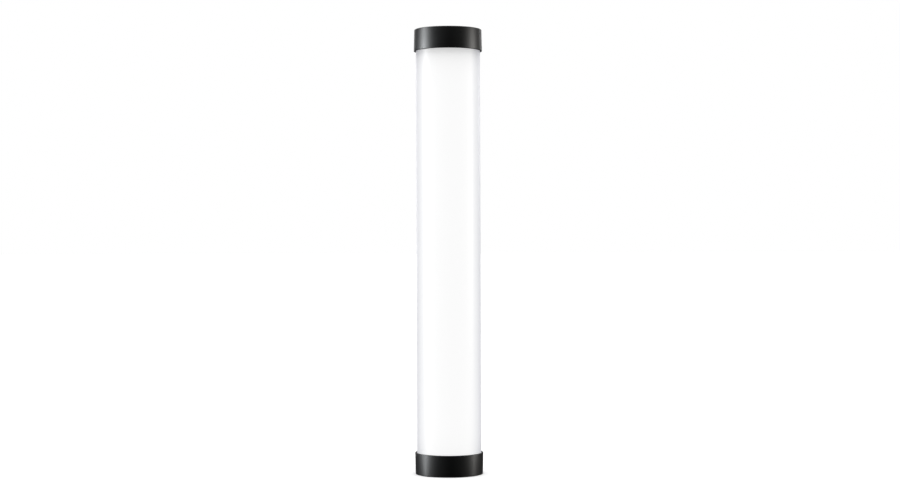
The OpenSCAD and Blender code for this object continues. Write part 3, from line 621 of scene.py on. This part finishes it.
def circuit_board(name, mask, trace):
    """A board: solder mask over a faint net of traces, with small drilled vias."""
    paint = Paint(name, mask, IOR=1.5, Coat_Weight=0.3, Coat_Roughness=0.15)
    lanes = paint.node("ShaderNodeTexBrick", {"offset": 0.5, "squash": 0.6}, {
        "Vector": paint.where((420, 420, 300)), "Scale": 1.0, "Mortar Size": 0.06,
        "Mortar Smooth": 0.2, "Brick Width": 1.4, "Row Height": 0.5}, output="Fac")
    dot = paint.maths("LESS_THAN", paint.spots(620.0), 0.14)
    copper = paint.mix(lanes * 0.6, mask, trace)
    tinned = paint.mix(dot, copper, (0.55, 0.5, 0.36))
    paint.bump(lanes, 0.3, 0.02 * MM)
    return paint.feed(Base_Color=tinned, Roughness=paint.spread(dot, 0.32, 0.24))


def plain_gloss(name, base, rough=0.15, alpha=1.0, glow=None, strength=0.0):
    """A smooth gloss plastic with a little haze in its polish."""
    paint = Paint(name, base, IOR=1.49, Alpha=alpha)
    if glow:
        paint.shader.inputs["Emission Color"].default_value = opaque(glow)
        paint.shader.inputs["Emission Strength"].default_value = strength
    haze = paint.noise(260.0, detail=5.0)
    tint = paint.shades(haze, base, 0.94, 1.05)
    return paint.feed(Base_Color=tint, Roughness=paint.spread(haze, rough * 0.7, rough * 1.5))


def shrink_wrap(name, base):
    """The cells' sleeve: glossy film with slow ripples along it."""
    paint = Paint(name, base, IOR=1.5, Coat_Weight=0.5, Coat_Roughness=0.08)
    ripple = paint.noise(140.0, where=paint.where((1, 1, 0.35)))
    paint.bump(ripple, 0.4, 0.12 * MM)
    tint = paint.shades(ripple, base, 0.8, 1.15)
    return paint.feed(Base_Color=tint, Roughness=paint.spread(ripple, 0.18, 0.32))


def cell_foam(name, base):
    """Closed-cell foam: small round bubbles under a rough skin."""
    paint = Paint(name, base, Roughness=0.9)
    bubbles = paint.spots(1900.0)
    paint.bump(bubbles, 0.8, 0.15 * MM)
    return paint.feed(Base_Color=paint.shades(bubbles, base, 0.5, 1.4))


class Finishes:
    """Every material by name, made when it is first asked for."""

    made = {}

    @classmethod
    def get(cls, name):
        if name not in cls.made:
            cls.made[name] = cls.recipes()[name]()
        return cls.made[name]

    @staticmethod
    def recipes():
        c = colours()
        return {
            "opal": lambda: opal_plastic("opal_diffuser"),
            "cap": lambda: moulded_plastic("cap_satin_black", c.cap_black, 0.44),
            "shell": lambda: moulded_plastic("shell_satin_black", c.shell_black, 0.46),
            "button": lambda: moulded_plastic("button_black", (0.02, 0.02, 0.021), 0.34, grain=12000.0),
            "icon": lambda: moulded_plastic("icon_print", c.icon_grey, 0.55, grain=14000.0),
            "black_screw": lambda: metal("black_oxide_steel", (0.045, 0.045, 0.048), 0.38),
            "steel": lambda: metal("zinc_steel", (0.72, 0.72, 0.70), 0.3),
            "turned": lambda: metal("turned_steel", (0.68, 0.66, 0.62), 0.24, streak=(0.05, 0.05, 1)),
            "extrusion": lambda: metal("anodised_aluminium", (0.80, 0.81, 0.82), 0.34),
            "machined": lambda: metal("machined_aluminium", (0.76, 0.77, 0.78), 0.28, streak=(1, 0.1, 1)),
            "nickel": lambda: metal("nickel_strip", (0.74, 0.71, 0.66), 0.27),
            "can": lambda: metal("capacitor_can", (0.70, 0.72, 0.74), 0.25),
            "gold": lambda: metal("gold_contact", (0.83, 0.62, 0.26), 0.22),
            "port": lambda: metal("port_stainless", (0.70, 0.70, 0.70), 0.26, streak=(0.1, 1, 1)),
            "rubber": lambda: soft_rubber("cover_silicone", (0.016, 0.016, 0.017)),
            "seal": lambda: soft_rubber("seal_silicone", (0.04, 0.04, 0.042)),
            "pad": lambda: soft_rubber("thermal_pad", (0.50, 0.56, 0.62), 0.75),
            "lead": lambda: soft_rubber("lead_silicone", (0.55, 0.03, 0.03), 0.45),
            "white_board": lambda: circuit_board("white_solder_mask", (0.86, 0.86, 0.84), (0.74, 0.74, 0.72)),
            "board": lambda: circuit_board("green_solder_mask", (0.012, 0.13, 0.06), (0.03, 0.24, 0.10)),
            "led_body": lambda: plain_gloss("led_body", (0.88, 0.88, 0.84), 0.3),
            "phosphor": lambda: plain_gloss(
                "phosphor_gel", (0.93, 0.72, 0.16), 0.25, glow=(1.0, 0.93, 0.8), strength=1.2),
            "sheet": lambda: moulded_plastic("reflector_white", (0.93, 0.93, 0.93), 0.7),
            "wrap": lambda: shrink_wrap("cell_sleeve", (0.04, 0.17, 0.42)),
            "foam": lambda: cell_foam("foam_pad", (0.06, 0.06, 0.065)),
            "inner_plastic": lambda: moulded_plastic("inner_black_plastic", (0.03, 0.03, 0.032), 0.5),
            "ferrite": lambda: moulded_plastic("ferrite_grey", (0.055, 0.055, 0.06), 0.7),
            "chip": lambda: moulded_plastic("chip_epoxy", (0.02, 0.02, 0.021), 0.48),
            "nylon": lambda: moulded_plastic("connector_nylon", (0.80, 0.77, 0.68), 0.45),
            "ribbon": lambda: plain_gloss("flat_cable", (0.78, 0.76, 0.72), 0.35),
            "glass": lambda: plain_gloss("display_glass", (0.006, 0.008, 0.012), 0.08),
            "window": lambda: plain_gloss("smoked_window", (0.004, 0.004, 0.005), 0.09, alpha=0.55),
            "display_light": lambda: plain_gloss(
                "display_light", c.display_blue, 0.4, glow=c.display_blue, strength=2.6),
            "pipe": lambda: plain_gloss(
                "light_pipe", (0.75, 0.82, 0.86), 0.12, glow=(0.25, 1.0, 0.45), strength=0.25),
            "plunger": lambda: moulded_plastic("plunger_white", (0.72, 0.72, 0.70), 0.4),
        }


# ---- shells

def arc_points(radius, start, end, steps):
    """Points on a circle about the tube's axis, between two angles in radians from +X."""
    turn = np.linspace(start, end, steps)
    return radius * np.stack([np.cos(turn), np.sin(turn)], -1)


def make_diffuser():
    """The opal arc: outer arc, rolled edges and inner arc as one outline, carried along the tube."""
    wall = DIFFUSER_WALL
    edge = math.asin(DIFFUSER_HIGH[1] / TUBE_R)
    edge_r = 0.18 * MM
    lean = edge_r / TUBE_R
    outer = arc_points(TUBE_R, -math.pi - edge + lean, edge - lean, ROUND_STEPS)
    inner = arc_points(TUBE_R - wall, edge - lean, -math.pi - edge + lean, ROUND_STEPS // 2)

    def edge_at(angle, sign):
        """The rounded end of the arc: its two corners as quarter circles about centres inside the wall."""
        along = np.array([math.cos(angle), math.sin(angle)])
        across = sign * np.array([-math.sin(angle), math.cos(angle)])
        quarter = np.linspace(0, math.pi / 2, 5)[:, None]
        centre_out = along * (TUBE_R - edge_r) - across * edge_r
        centre_in = along * (TUBE_R - wall + edge_r) - across * edge_r
        out = centre_out + edge_r * (np.cos(quarter) * along + np.sin(quarter) * across)
        back = centre_in + edge_r * (np.cos(quarter) * across - np.sin(quarter) * along)
        return out, back

    right_out, right_in = edge_at(edge, 1)
    left_out, left_in = edge_at(-math.pi - edge, -1)
    outline = np.concatenate([outer[1:-1], right_out, right_in, inner[1:-1], left_in[::-1], left_out[::-1]])
    levels = np.linspace(DIFFUSER_LOW[2], DIFFUSER_HIGH[2], 60)
    return surface("diffuser_shell", [level_ring(outline, z) for z in levels])


def make_rails():
    """The two rails along the diffuser's edges that hook into the spine."""
    rails = []
    for side in (-1, 1):
        left, right = sorted((side * RAIL_IN, side * RAIL_OUT))
        low, high = (left, RAIL_LOW, DIFFUSER_LOW[2]), (right, RAIL_HIGH, DIFFUSER_HIGH[2])
        rails.append(soften(block(f"rail_{side}", low, high), 0.15 * MM))
    return joined("diffuser_rails", rails)


class LIGHTTUBE_OT_diffuser(Operator):
    """Adds the opal diffuser and the rails that hold it"""

    bl_idname = "lighttube.diffuser"
    bl_label = "Diffuser"

    def execute(self, context):
        place(make_diffuser(), TUBE, "opal", "opal_diffuser", "diffuser")
        place(make_rails(), TUBE, "opal", "opal_diffuser")
        return {"FINISHED"}


def screw_places(offset):
    """The four corners at one offset from both centre planes."""
    return [(x * offset, y * offset) for x in (-1, 1) for y in (-1, 1)]


def make_cap(end):
    """A cap: a profile turned round the tube's axis, with four countersunk holes, turned over for the top."""
    size = sizes()
    bore = TUBE_R + 0.15 * MM
    end_r = CAP_R - size.cap_draft
    corners = np.array([
        (CAP_HOLE_R, CAP_RECESS), (CAP_RECESS_R - CAP_RECESS, CAP_RECESS), (CAP_RECESS_R, 0), (end_r, 0),
        (CAP_R, CAP_H), (bore, CAP_H), (bore, CAP_FACE), (CAP_HOLE_R, CAP_FACE)])
    # the rounding at each corner, in millimetres
    radii = np.array([0.15, 0.1, 0.12, size.cap_end_round / MM, size.cap_rim_round / MM, 0.25, 0.2, 0.1]) * MM
    profile = rounded_path(corners, radii, steps=9)
    sink_r, hole_r = SCREW_HEAD_R + SCREW_GAP, SCREW_SHANK_R + SCREW_GAP
    outside, inside = -1 * MM, 4 * MM        # past both faces of the cap's end
    sink = [(0, outside), (sink_r, outside), (sink_r, SCREW_RIM), (hole_r, SCREW_CONE), (hole_r, inside),
            (0, inside)]
    cutters = [revolved(f"sink_{number}", sink, (x, y, 0), closed=False, steps=48)
               for number, (x, y) in enumerate(screw_places(CAP_SCREW_OFFSET))]
    return at_end(carve(revolved(f"{end}_cap_shell", profile), cutters), end)


def at_end(piece, end):
    """Leaves a piece at the bottom, or moves it to the top: heights mirrored, faces turned back out."""
    if end == "bottom":
        return piece
    points = vectors(piece.data.vertices, "co", 3)
    points[:, 2] = LENGTH - points[:, 2]
    return tidy_mesh(with_points(piece, points))


class LIGHTTUBE_OT_caps(Operator):
    """Adds the two satin black end caps"""

    bl_idname = "lighttube.caps"
    bl_label = "End caps"

    def execute(self, context):
        for end in ("bottom", "top"):
            place(make_cap(end), TUBE, "cap", "black_cap", f"{end}_cap")
        return {"FINISHED"}


class LIGHTTUBE_OT_housing(Operator):
    """Adds the rear housing with softened edges round its panel and openings"""

    bl_idname = "lighttube.housing"
    bl_label = "Rear housing"

    def execute(self, context):
        piece = round_shading(refined("rear_housing", "rear_housing_shell", 0.12 * MM), TUBE_R)
        place(piece, TUBE, "shell", "black_shell", "rear_housing")
        return {"FINISHED"}


# ---- ends

def make_thread_insert(end):
    """The insert's wall as one closed profile: bore radius = minor + depth x ridge(height / pitch - turn)."""
    pitch = sizes().thread_pitch
    minor, depth, outer = 2.55 * MM, 0.5 * MM, INSERT_HIGH[0]
    low, high = INSERT_LOW[2], INSERT_HIGH[2]
    turn = np.linspace(0, 2 * math.pi, 72, endpoint=False)[None, :]
    height = np.linspace(low, high, 113)[:, None]
    phase = ((height - low) / pitch - turn / (2 * math.pi)) % 1.0
    flank, crest = 2.6, 0.15                 # how steeply a turn rises, and how much of it is flat
    ridge = np.clip(np.abs(phase - 0.5) * flank - crest, 0, 1)
    run_out, mouth_share, edge = 0.5 * MM, 0.7, 0.2 * MM
    fade = np.clip(np.minimum(height - low, high - height) / run_out, 0, 1)
    bore = minor + depth * ((1 - ridge) * fade + (1 - fade) * mouth_share)
    wall = [(outer - edge, high), (outer, high - edge), (outer, low + edge), (outer - edge, low)]
    outside = np.array(wall)[:, None, :] * np.ones((1, turn.shape[1], 1))
    radius = np.concatenate([bore, outside[..., 0]])
    level = np.concatenate([np.broadcast_to(height, bore.shape), outside[..., 1]])
    points = np.stack([radius * np.cos(turn), radius * np.sin(turn), level], -1)
    return at_end(surface(f"{end}_thread", points, wrap_rows=True, smooth_angle=40), end)


def make_sunk_screws(end):
    """The cap screws: countersunk heads with a hexagon recess."""
    top, foot, chamfer, chamfer_height = 0.1 * MM, 5 * MM, 0.05 * MM, 0.06 * MM
    profile = [(0, top), (SCREW_HEAD_R - chamfer, top), (SCREW_HEAD_R, top + chamfer_height),
               (SCREW_HEAD_R, SCREW_RIM), (SCREW_SHANK_R, SCREW_CONE), (SCREW_SHANK_R, foot), (0, foot)]
    socket_r = socket_depth = 0.9 * MM
    hexagon = arc_points(socket_r, 0, 5 * math.pi / 3, 6)
    screws = []
    for number, (x, y) in enumerate(screw_places(CAP_SCREW_OFFSET)):
        screw = revolved(f"screw_{number}", profile, (x, y, 0), closed=False, steps=56)
        carve(screw, [prism(f"hexagon_{number}", hexagon + (x, y), -1 * MM, socket_depth)])
        screws.append(screw)
    return at_end(joined(f"{end}_cap_screw_set", screws), end)


class LIGHTTUBE_OT_ends(Operator):
    """Adds the threaded inserts, the end plates and the cap screws"""

    bl_idname = "lighttube.ends"
    bl_label = "Ends"

    def execute(self, context):
        for end in ("bottom", "top"):
            insert, screws = make_thread_insert(end), make_sunk_screws(end)
            place(insert, TUBE, "turned", "insert_steel", f"{end}_thread_insert")
            place(screws, TUBE, "black_screw", "black_screw", f"{end}_cap_screws")
            place_refined(f"{end}_end_plate", f"{end}_plate", 0.12 * MM, "machined", "plate_metal")
        place_refined("housing_screws", "housing_screw_set", 0.1 * MM, "black_screw", "black_screw")
        return {"FINISHED"}


# ---- display

SEGMENTS = {"0": "abcdef", "1": "bc", "5": "afgcd", "6": "afgedc"}     # the lit bars of each digit


def flat_bar(name, low, high, y0, y1):
    """A thin bar of light on the display, between two (x, z) corners."""
    size = (high[0] - low[0], high[1] - low[1])
    bar = soft_plate(name, size, min(size) * 0.3, y0, y1, (low[1] + high[1]) / 2)
    return shifted(bar, (low[0] + high[0]) / 2)


def shifted(piece, x):
    """Moves a piece's points along X."""
    return with_points(piece, vectors(piece.data.vertices, "co", 3) + (x, 0, 0))


def digit_bars(digit, centre, size, y0, y1):
    """The lit bars of one seven-bar digit, read from behind the tube, where +X is on the left."""
    half_w, half_h, line = size[0] / 2, size[1] / 2, size[0] * 0.17
    gap = line * 0.3
    reach = half_w - line * 1.15
    spans = {
        "a": (-reach, half_h - line, reach, half_h),
        "g": (-reach, -line / 2, reach, line / 2),
        "d": (-reach, -half_h, reach, -half_h + line),
        "b": (half_w - line, gap, half_w, half_h - gap),
        "c": (half_w - line, -half_h + gap, half_w, -gap),
        "f": (-half_w, gap, -half_w + line, half_h - gap),
        "e": (-half_w, -half_h + gap, -half_w + line, -gap)}
    bars = []
    for key in SEGMENTS[digit]:
        x0, z0, x1, z1 = spans[key]
        low, high = (centre[0] - x1, centre[1] + z0), (centre[0] - x0, centre[1] + z1)
        bars.append(flat_bar(f"bar_{digit}_{key}", low, high, y0, y1))
    return bars


def number_bars(text, centre, size, pitch, y0, y1):
    """A row of digits, the first on the reader's left."""
    first = (len(text) - 1) / 2
    return [bar for number, digit in enumerate(text)
            for bar in digit_bars(digit, (centre[0] + (first - number) * pitch, centre[1]), size, y0, y1)]


def make_display_light():
    """The lit content: a battery sign, a level, a colour temperature and a row of level bars."""
    y0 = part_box("display_panel")[1][1]
    y1 = y0 + 0.05 * MM
    z = mid_z(WINDOW_LOW, WINDOW_HIGH)

    def bar(name, left, low, right, high):
        """A bar between two corners, in millimetres from the window's middle."""
        return flat_bar(name, (left * MM, z + low * MM), (right * MM, z + high * MM), y0, y1)

    bars = number_bars("100", (0, z + 5.6 * MM), (1.6 * MM, 3.0 * MM), 2.25 * MM, y0, y1)
    bars += number_bars("5600", (0, z - 0.2 * MM), (1.2 * MM, 2.3 * MM), 1.72 * MM, y0, y1)
    foot, first_height, growth = -7.4, 0.7, 0.32
    for step in range(6):
        right = 2.9 - step * 1.05
        bars.append(bar(f"level_{step}", right - 0.7, foot, right, foot + first_height + growth * step))
    middle, half_w, half_h, line = 9.9, 1.8, 0.8, 0.25
    for side in (-1, 1):
        low, high = sorted((side * half_h, side * (half_h - line)))
        bars.append(bar(f"battery_edge_{side}", -half_w, middle + low, half_w, middle + high))
        left, right = sorted((side * half_w, side * (half_w - line)))
        bars.append(bar(f"battery_side_{side}", left, middle - 0.5, right, middle + 0.5))
    bars.append(bar("battery_nub", -2.2, middle - 0.35, -1.9, middle + 0.35))
    for step in range(3):
        right = 1.3 - step * 0.9
        bars.append(bar(f"charge_{step}", right - 0.65, middle - 0.35, right, middle + 0.35))
    return joined("display_light", bars)


class LIGHTTUBE_OT_display(Operator):
    """Adds the smoked window, the display glass and what the display shows"""

    bl_idname = "lighttube.display"
    bl_label = "Display"

    def execute(self, context):
        size = face_size(WINDOW_LOW, WINDOW_HIGH)
        window = soft_plate("window_pane", size, 0.35 * MM, WINDOW_LOW[1], PANEL_Y,
                            mid_z(WINDOW_LOW, WINDOW_HIGH), round_front=0.15 * MM)
        place(window, TUBE, "window", "smoked_window", "display_window")
        place(make_display_light(), TUBE, "display_light", "display_glass")
        place_refined("display_panel", "display_glass_plate", 0.1 * MM, "glass", "display_glass")
        return {"FINISHED"}


# ---- buttons

def make_button(key):
    """A button: its profile turned round its own axis, with a rounded rim and a shallow dish on top."""
    low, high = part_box(f"{key}_button")
    y0, top, flange_r = low[1], high[1], high[0]
    flange_width, flange_height, chamfer, rim = 0.9 * MM, 0.6 * MM, 0.1 * MM, 0.45 * MM
    shaft_r = flange_r - flange_width
    quarter = np.linspace(0, math.pi / 2, 7)
    rounded_rim = np.stack([shaft_r - rim + rim * np.cos(quarter), top - rim + rim * np.sin(quarter)], -1)
    inside = np.linspace(1, 0, 12)
    dish = np.stack([(shaft_r - rim) * inside, top - BUTTON_DISH * (1 - inside ** 2)], -1)[1:]
    foot = [(0, y0), (flange_r - chamfer, y0), (flange_r, y0 + chamfer),
            (flange_r, y0 + flange_height - chamfer), (flange_r - chamfer, y0 + flange_height),
            (shaft_r, y0 + flange_height)]
    profile = np.concatenate([foot, rounded_rim, dish])
    return revolved(f"{key}_cap", profile, (0, 0, mid_z(low, high)), along="y", closed=False, steps=96)


def ring_part(name, radius, line, start, end, y0, y1, centre_z):
    """A flat arc: the outline runs along its outer edge and back along its inner one."""
    outline = np.concatenate([arc_points(radius + line / 2, start, end, 40),
                              arc_points(radius - line / 2, end, start, 40)])
    return surface(name, [upright_ring(outline, y, centre_z) for y in (y0, y1)])


def make_icon(key):
    """A printed sign: plus, minus, three menu lines, or the power sign."""
    low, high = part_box(f"{key}_button")
    z = mid_z(low, high)
    dish_low = high[1] - BUTTON_DISH
    y0, y1 = dish_low - 0.02 * MM, dish_low + BUTTON_DISH * 0.45 + sizes().icon_depth
    half_line, half_width = sizes().icon_line / 2, 1.25 * MM

    def bar(name, half_w, low_z, high_z):
        """A bar across the button's middle, between two heights from its centre."""
        return flat_bar(f"{key}_{name}", (-half_w, z + low_z), (half_w, z + high_z), y0, y1)

    def level(height):
        """A line across the button at a height from its centre."""
        return bar(f"level_{height}", half_width, height - half_line, height + half_line)

    if key == "minus":
        parts = [level(0)]
    elif key == "plus":
        parts = [level(0), bar("upper", half_line, half_line, half_width),
                 bar("lower", half_line, -half_width, -half_line)]
    elif key == "menu":
        gap = 0.85 * MM
        parts = [level(0), level(-gap), level(gap)]
    else:
        up, opening = math.pi / 2, math.radians(38)
        parts = [ring_part("power_arc", 1.15 * MM, half_line * 2, up + opening, up + 2 * math.pi - opening,
                           y0, y1, z),
                 bar("stem", half_line, 0.25 * MM, 1.45 * MM)]
    return joined(f"{key}_icon", parts)


class LIGHTTUBE_OT_buttons(Operator):
    """Adds the four buttons and the signs on them"""

    bl_idname = "lighttube.buttons"
    bl_label = "Buttons"

    def execute(self, context):
        for key in BUTTONS:
            place(make_button(key), f"{key}_key", "button", "button_plastic", f"{key}_button")
            place(make_icon(key), f"{key}_key", "icon", "button_plastic")
        return {"FINISHED"}


# ---- charging port

def slot_rings(width, height, steps, centre_z):
    """Slot outlines, two half circles joined by straight sides, at each (inset, depth) step."""
    rings = []
    for inset, y in steps:
        radius = height / 2 - inset - 1e-6
        outline = rounded_rectangle(width - 2 * inset, height - 2 * inset, radius, 0.0, 14)
        rings.append(upright_ring(outline, y, centre_z))
    return rings


def make_port_shell():
    """The port's drawn shell: an outer and an inner slot outline joined at the mouth by a rolled lip."""
    back, mouth, wall, lip = PORT_LOW[1], PORT_HIGH[1], 0.3 * MM, 0.12 * MM
    steps = [(0, back), (0, mouth - lip), (lip * 0.3, mouth - lip * 0.3), (wall / 2, mouth),
             (wall - lip * 0.3, mouth - lip * 0.3), (wall, mouth - lip), (wall, back + 0.8 * MM)]
    width, height = face_size(PORT_LOW, PORT_HIGH)
    return surface("port_shell", slot_rings(width, height, steps, mid_z(PORT_LOW, PORT_HIGH)))


def make_contacts():
    """The gold contact strips on both faces of the port's tongue."""
    low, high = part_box("usb_port_tongue")
    count, pitch, half_width, relief = 12, 0.5 * MM, 0.13 * MM, 0.04 * MM
    behind, before = 0.4 * MM, 0.25 * MM     # what the strips leave bare at the tongue's root and tip
    strips = []
    for step in range(count):
        x = (step - (count - 1) / 2) * pitch
        for side, z in ((-1, low[2]), (1, high[2])):
            z0, z1 = sorted((z, z + side * relief))
            strips.append(block(f"contact_{step}_{side}", (x - half_width, low[1] + behind, z0),
                                (x + half_width, high[1] - before, z1)))
    return joined("port_contacts", strips)


def make_cover():
    """The rubber cover: a plate with rounded edges and the plug behind it."""
    size, z = face_size(COVER_LOW, COVER_HIGH), mid_z(COVER_LOW, COVER_HIGH)
    plate = soft_plate("plate", size, 0.6 * MM, COVER_LOW[1] + FLAP_START, COVER_HIGH[1], z,
                       round_front=0.35 * MM, round_back=0.12 * MM)
    steps = np.array([(0.25, 0.0), (0.08, 0.1), (0.0, 0.3), (0.0, 1.0)]) * MM
    rings = slot_rings(PLUG_WIDTH, PLUG_HEIGHT, steps + (0, COVER_LOW[1]), mid_z(PORT_LOW, PORT_HIGH))
    plug = surface("plug", rings)
    return joined("cover_flap", [plate, plug])


def make_strap():
    """The thin web of rubber between the anchor and the cover, waisted in the middle."""
    top, bottom = ANCHOR_LOW[2] + STRAP_TUCK, COVER_HIGH[2] - STRAP_TUCK
    share = np.linspace(0, 1, 17)
    end_half_width, waist, half_thick = 2.4 * MM, 0.5 * MM, 0.16 * MM
    half_widths = end_half_width - waist * np.sin(share * math.pi)
    corners = np.array([(-1, -1), (1, -1), (1, 1), (-1, 1)])
    rings = [level_ring(corners * (half_width, half_thick) + (0, STRAP_Y), z)
             for half_width, z in zip(half_widths, top + (bottom - top) * share)]
    return surface("cover_strap", rings)


class LIGHTTUBE_OT_port(Operator):
    """Adds the charging port, its rubber cover and the charge light"""

    bl_idname = "lighttube.port"
    bl_label = "Charging port"

    def execute(self, context):
        place(make_port_shell(), TUBE, "port", "port_metal", "usb_port_shell")
        place(make_contacts(), TUBE, "gold", "port_metal")
        place_refined("usb_port_tongue", "port_tongue", 0.06 * MM, "inner_plastic", "black_inner_plastic")
        place(make_cover(), COVER, "rubber", "cover_rubber", "port_cover")
        place_refined("port_cover_anchor", "cover_anchor", 0.15 * MM, "rubber", "cover_rubber")
        strap = make_strap()
        finish_only(strap, "rubber")
        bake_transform(strap)
        place_refined("charge_light_pipe", "charge_light", 0.08 * MM, "pipe", "clear_plastic")
        return {"FINISHED"}


# ---- inside

INNER_FINISHES = {
    "extrusion": "spine",
    "steel": "bottom_plate_screws top_plate_screws led_board_screws control_board_screws",
    "seal": "bottom_gasket top_gasket",
    "pad": "thermal_pad",
    "white_board": "led_board",
    "led_body": "led_packages charge_led",
    "phosphor": "led_emitters",
    "sheet": "reflector_sheet",
    "lead": "led_leads battery_leads",
    "wrap": "battery_cell_lower battery_cell_upper",
    "nickel": "nickel_tabs",
    "board": "protection_board main_board control_board",
    "inner_plastic": "battery_saddles display_holder",
    "foam": "battery_foam_pads",
    "ferrite": "inductors",
    "can": "capacitors",
    "chip": "driver_chips tact_switches",
    "nylon": "board_connectors",
    "ribbon": "control_ribbon",
    "plunger": "power_plunger menu_plunger plus_plunger minus_plunger"}


class LIGHTTUBE_OT_inside(Operator):
    """Gives every node inside the tube its own finish"""

    bl_idname = "lighttube.inside"
    bl_label = "Inside"

    def execute(self, context):
        finished = set()
        for finish, nodes in INNER_FINISHES.items():
            for node in nodes.split():
                finish_only(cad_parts[node], finish)
                finished.add(node)
        left = [n for n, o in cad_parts.items() if not o.hide_render and n not in finished]
        if left:
            raise RuntimeError(f"these nodes have no finish: {left}")
        return {"FINISHED"}


# ---- stage

def add_light(name, kind, origin, target, power, colour, **settings):
    """A light that faces a point."""
    data = bpy.data.lights.new(name, kind)
    data.energy, data.color = power, colour
    for setting, value in settings.items():
        setattr(data, setting, value)
    light = bpy.data.objects.new(name, data)
    light.location = origin
    light.rotation_mode = "QUATERNION"
    light.rotation_quaternion = (Vector(target) - Vector(origin)).to_track_quat("-Z", "Y")
    bpy.context.scene.collection.objects.link(light)
    return light


def soft_box(name, azimuth, distance, height, size, radiance, colour, gloss_only=False):
    """An upright soft box at an angle from the front, whose power gives it the radiance asked for."""
    middle = (0, 0, LENGTH / 2)
    angle = math.radians(azimuth)
    origin = (distance * math.sin(angle), -distance * math.cos(angle), height)
    power = radiance * math.pi * size[0] * size[1]
    light = add_light(name, "AREA", origin, middle, power, colour,
                      shape="RECTANGLE", size=size[0], size_y=size[1])
    light.visible_diffuse = not gloss_only


def make_floor(side):
    """A plain pale floor, which lights nothing itself, so that black plastic keeps its black."""
    half = side / 2
    corners = [(-half, -half, 0), (half, -half, 0), (half, half, 0), (-half, half, 0)]
    floor = new_object("floor", corners, [(0, 1, 2, 3)])
    white = Paint("floor_white", (0.93, 0.93, 0.93), Roughness=1.0)
    floor.data.materials.append(white.material)
    floor.visible_glossy = floor.visible_diffuse = False


def make_world(scene, seen_level, lit_level):
    """White where the camera looks past the floor, and a dim grey for the light that falls on the tube."""
    world = bpy.data.worlds.new("studio")
    world.use_nodes = True
    scene.world = world
    tree = world.node_tree
    lit = tree.nodes["Background"]
    seen = tree.nodes.new("ShaderNodeBackground")
    for background, level in ((seen, seen_level), (lit, lit_level)):
        background.inputs["Color"].default_value = (1, 1, 1, 1)
        background.inputs["Strength"].default_value = level
    rays = tree.nodes.new("ShaderNodeLightPath")
    mix = tree.nodes.new("ShaderNodeMixShader")
    tree.links.new(rays.outputs["Is Camera Ray"], mix.inputs[0])
    tree.links.new(lit.outputs[0], mix.inputs[1])
    tree.links.new(seen.outputs[0], mix.inputs[2])
    tree.links.new(mix.outputs[0], tree.nodes["World Output"].inputs["Surface"])


def make_camera(scene, settings):
    """A level camera in front of the tube, at half its height."""
    data = bpy.data.cameras.new("camera")
    data.sensor_width = 36.0
    data.lens = settings.lens
    data.shift_x, data.shift_y = settings.shift_x, settings.shift_y
    data.clip_start, data.clip_end = 0.05, 100
    camera = bpy.data.objects.new("camera", data)
    camera.location = (0, -settings.camera_distance, LENGTH / 2)
    camera.rotation_euler = (math.pi / 2, settings.roll, 0)
    scene.collection.objects.link(camera)
    scene.camera = camera


class LIGHTTUBE_OT_stage(Operator):
    """Adds the floor, the soft lights and the camera"""

    bl_idname = "lighttube.stage"
    bl_label = "Stage"

    def execute(self, context):
        scene, settings = context.scene, stage_settings()
        make_floor(settings.floor_size)
        cool, neutral, warm = (0.95, 0.98, 1.0), (1, 1, 1), (1.0, 0.98, 0.94)
        strip, box = (0.17, 0.8), (0.5, 0.9)
        soft_box("left_strip", -87, 1.1, 0.09, strip, 67.0, cool, gloss_only=True)
        soft_box("right_strip", 91, 1.1, 0.05, strip, 27.0, warm, gloss_only=True)
        soft_box("left_box", -80, 1.3, 0.3, box, 1.3, cool)
        soft_box("right_box", 80, 1.3, 0.3, box, 0.5, neutral)
        soft_box("rear_left_box", -160, 1.3, 0.5, box, 1.6, neutral)
        soft_box("rear_right_box", 150, 1.3, 0.6, (0.3, 0.8), 2.6, neutral)
        add_light("overhead", "SUN", (0, 0, 3), (0, 0, 0), 4.2, neutral, angle=math.radians(60))
        make_world(scene, settings.backdrop, settings.fill)
        make_camera(scene, settings)
        scene.view_settings.view_transform = "Standard"
        scene.view_settings.look = "None"
        return {"FINISHED"}


# ---- panel and registration

STEPS = (
    LIGHTTUBE_OT_diffuser, LIGHTTUBE_OT_caps, LIGHTTUBE_OT_housing, LIGHTTUBE_OT_ends,
    LIGHTTUBE_OT_display, LIGHTTUBE_OT_buttons, LIGHTTUBE_OT_port, LIGHTTUBE_OT_inside,
    LIGHTTUBE_OT_stage)


class LIGHTTUBE_PT_panel(Panel):
    """Lists the steps of the finish"""

    bl_label = "Light Tube"
    bl_idname = "LIGHTTUBE_PT_panel"
    bl_space_type = "VIEW_3D"
    bl_region_type = "UI"
    bl_category = "Light Tube"

    def draw(self, context):
        for step in STEPS:
            self.layout.operator(step.bl_idname)
        for group in (sizes(), colours(), stage_settings()):
            box = self.layout.box()
            for name in group.__annotations__:
                box.prop(group, name)


CLASSES = (TubeSizes, TubeColours, StageSettings, *STEPS, LIGHTTUBE_PT_panel)


def register():
    """Registers the classes and gives every scene their settings."""
    for made in CLASSES:
        bpy.utils.register_class(made)
    bpy.types.Scene.light_tube_sizes = PointerProperty(type=TubeSizes)
    bpy.types.Scene.light_tube_colours = PointerProperty(type=TubeColours)
    bpy.types.Scene.light_tube_stage = PointerProperty(type=StageSettings)


def unregister():
    """Takes the settings and the classes away again."""
    del bpy.types.Scene.light_tube_stage
    del bpy.types.Scene.light_tube_colours
    del bpy.types.Scene.light_tube_sizes
    for made in reversed(CLASSES):
        bpy.utils.unregister_class(made)


def main():
    """Runs each step in order."""
    register()
    for step in STEPS:
        group, name = step.bl_idname.split(".")
        getattr(getattr(bpy.ops, group), name)()


if __name__ == "__main__":
    main()
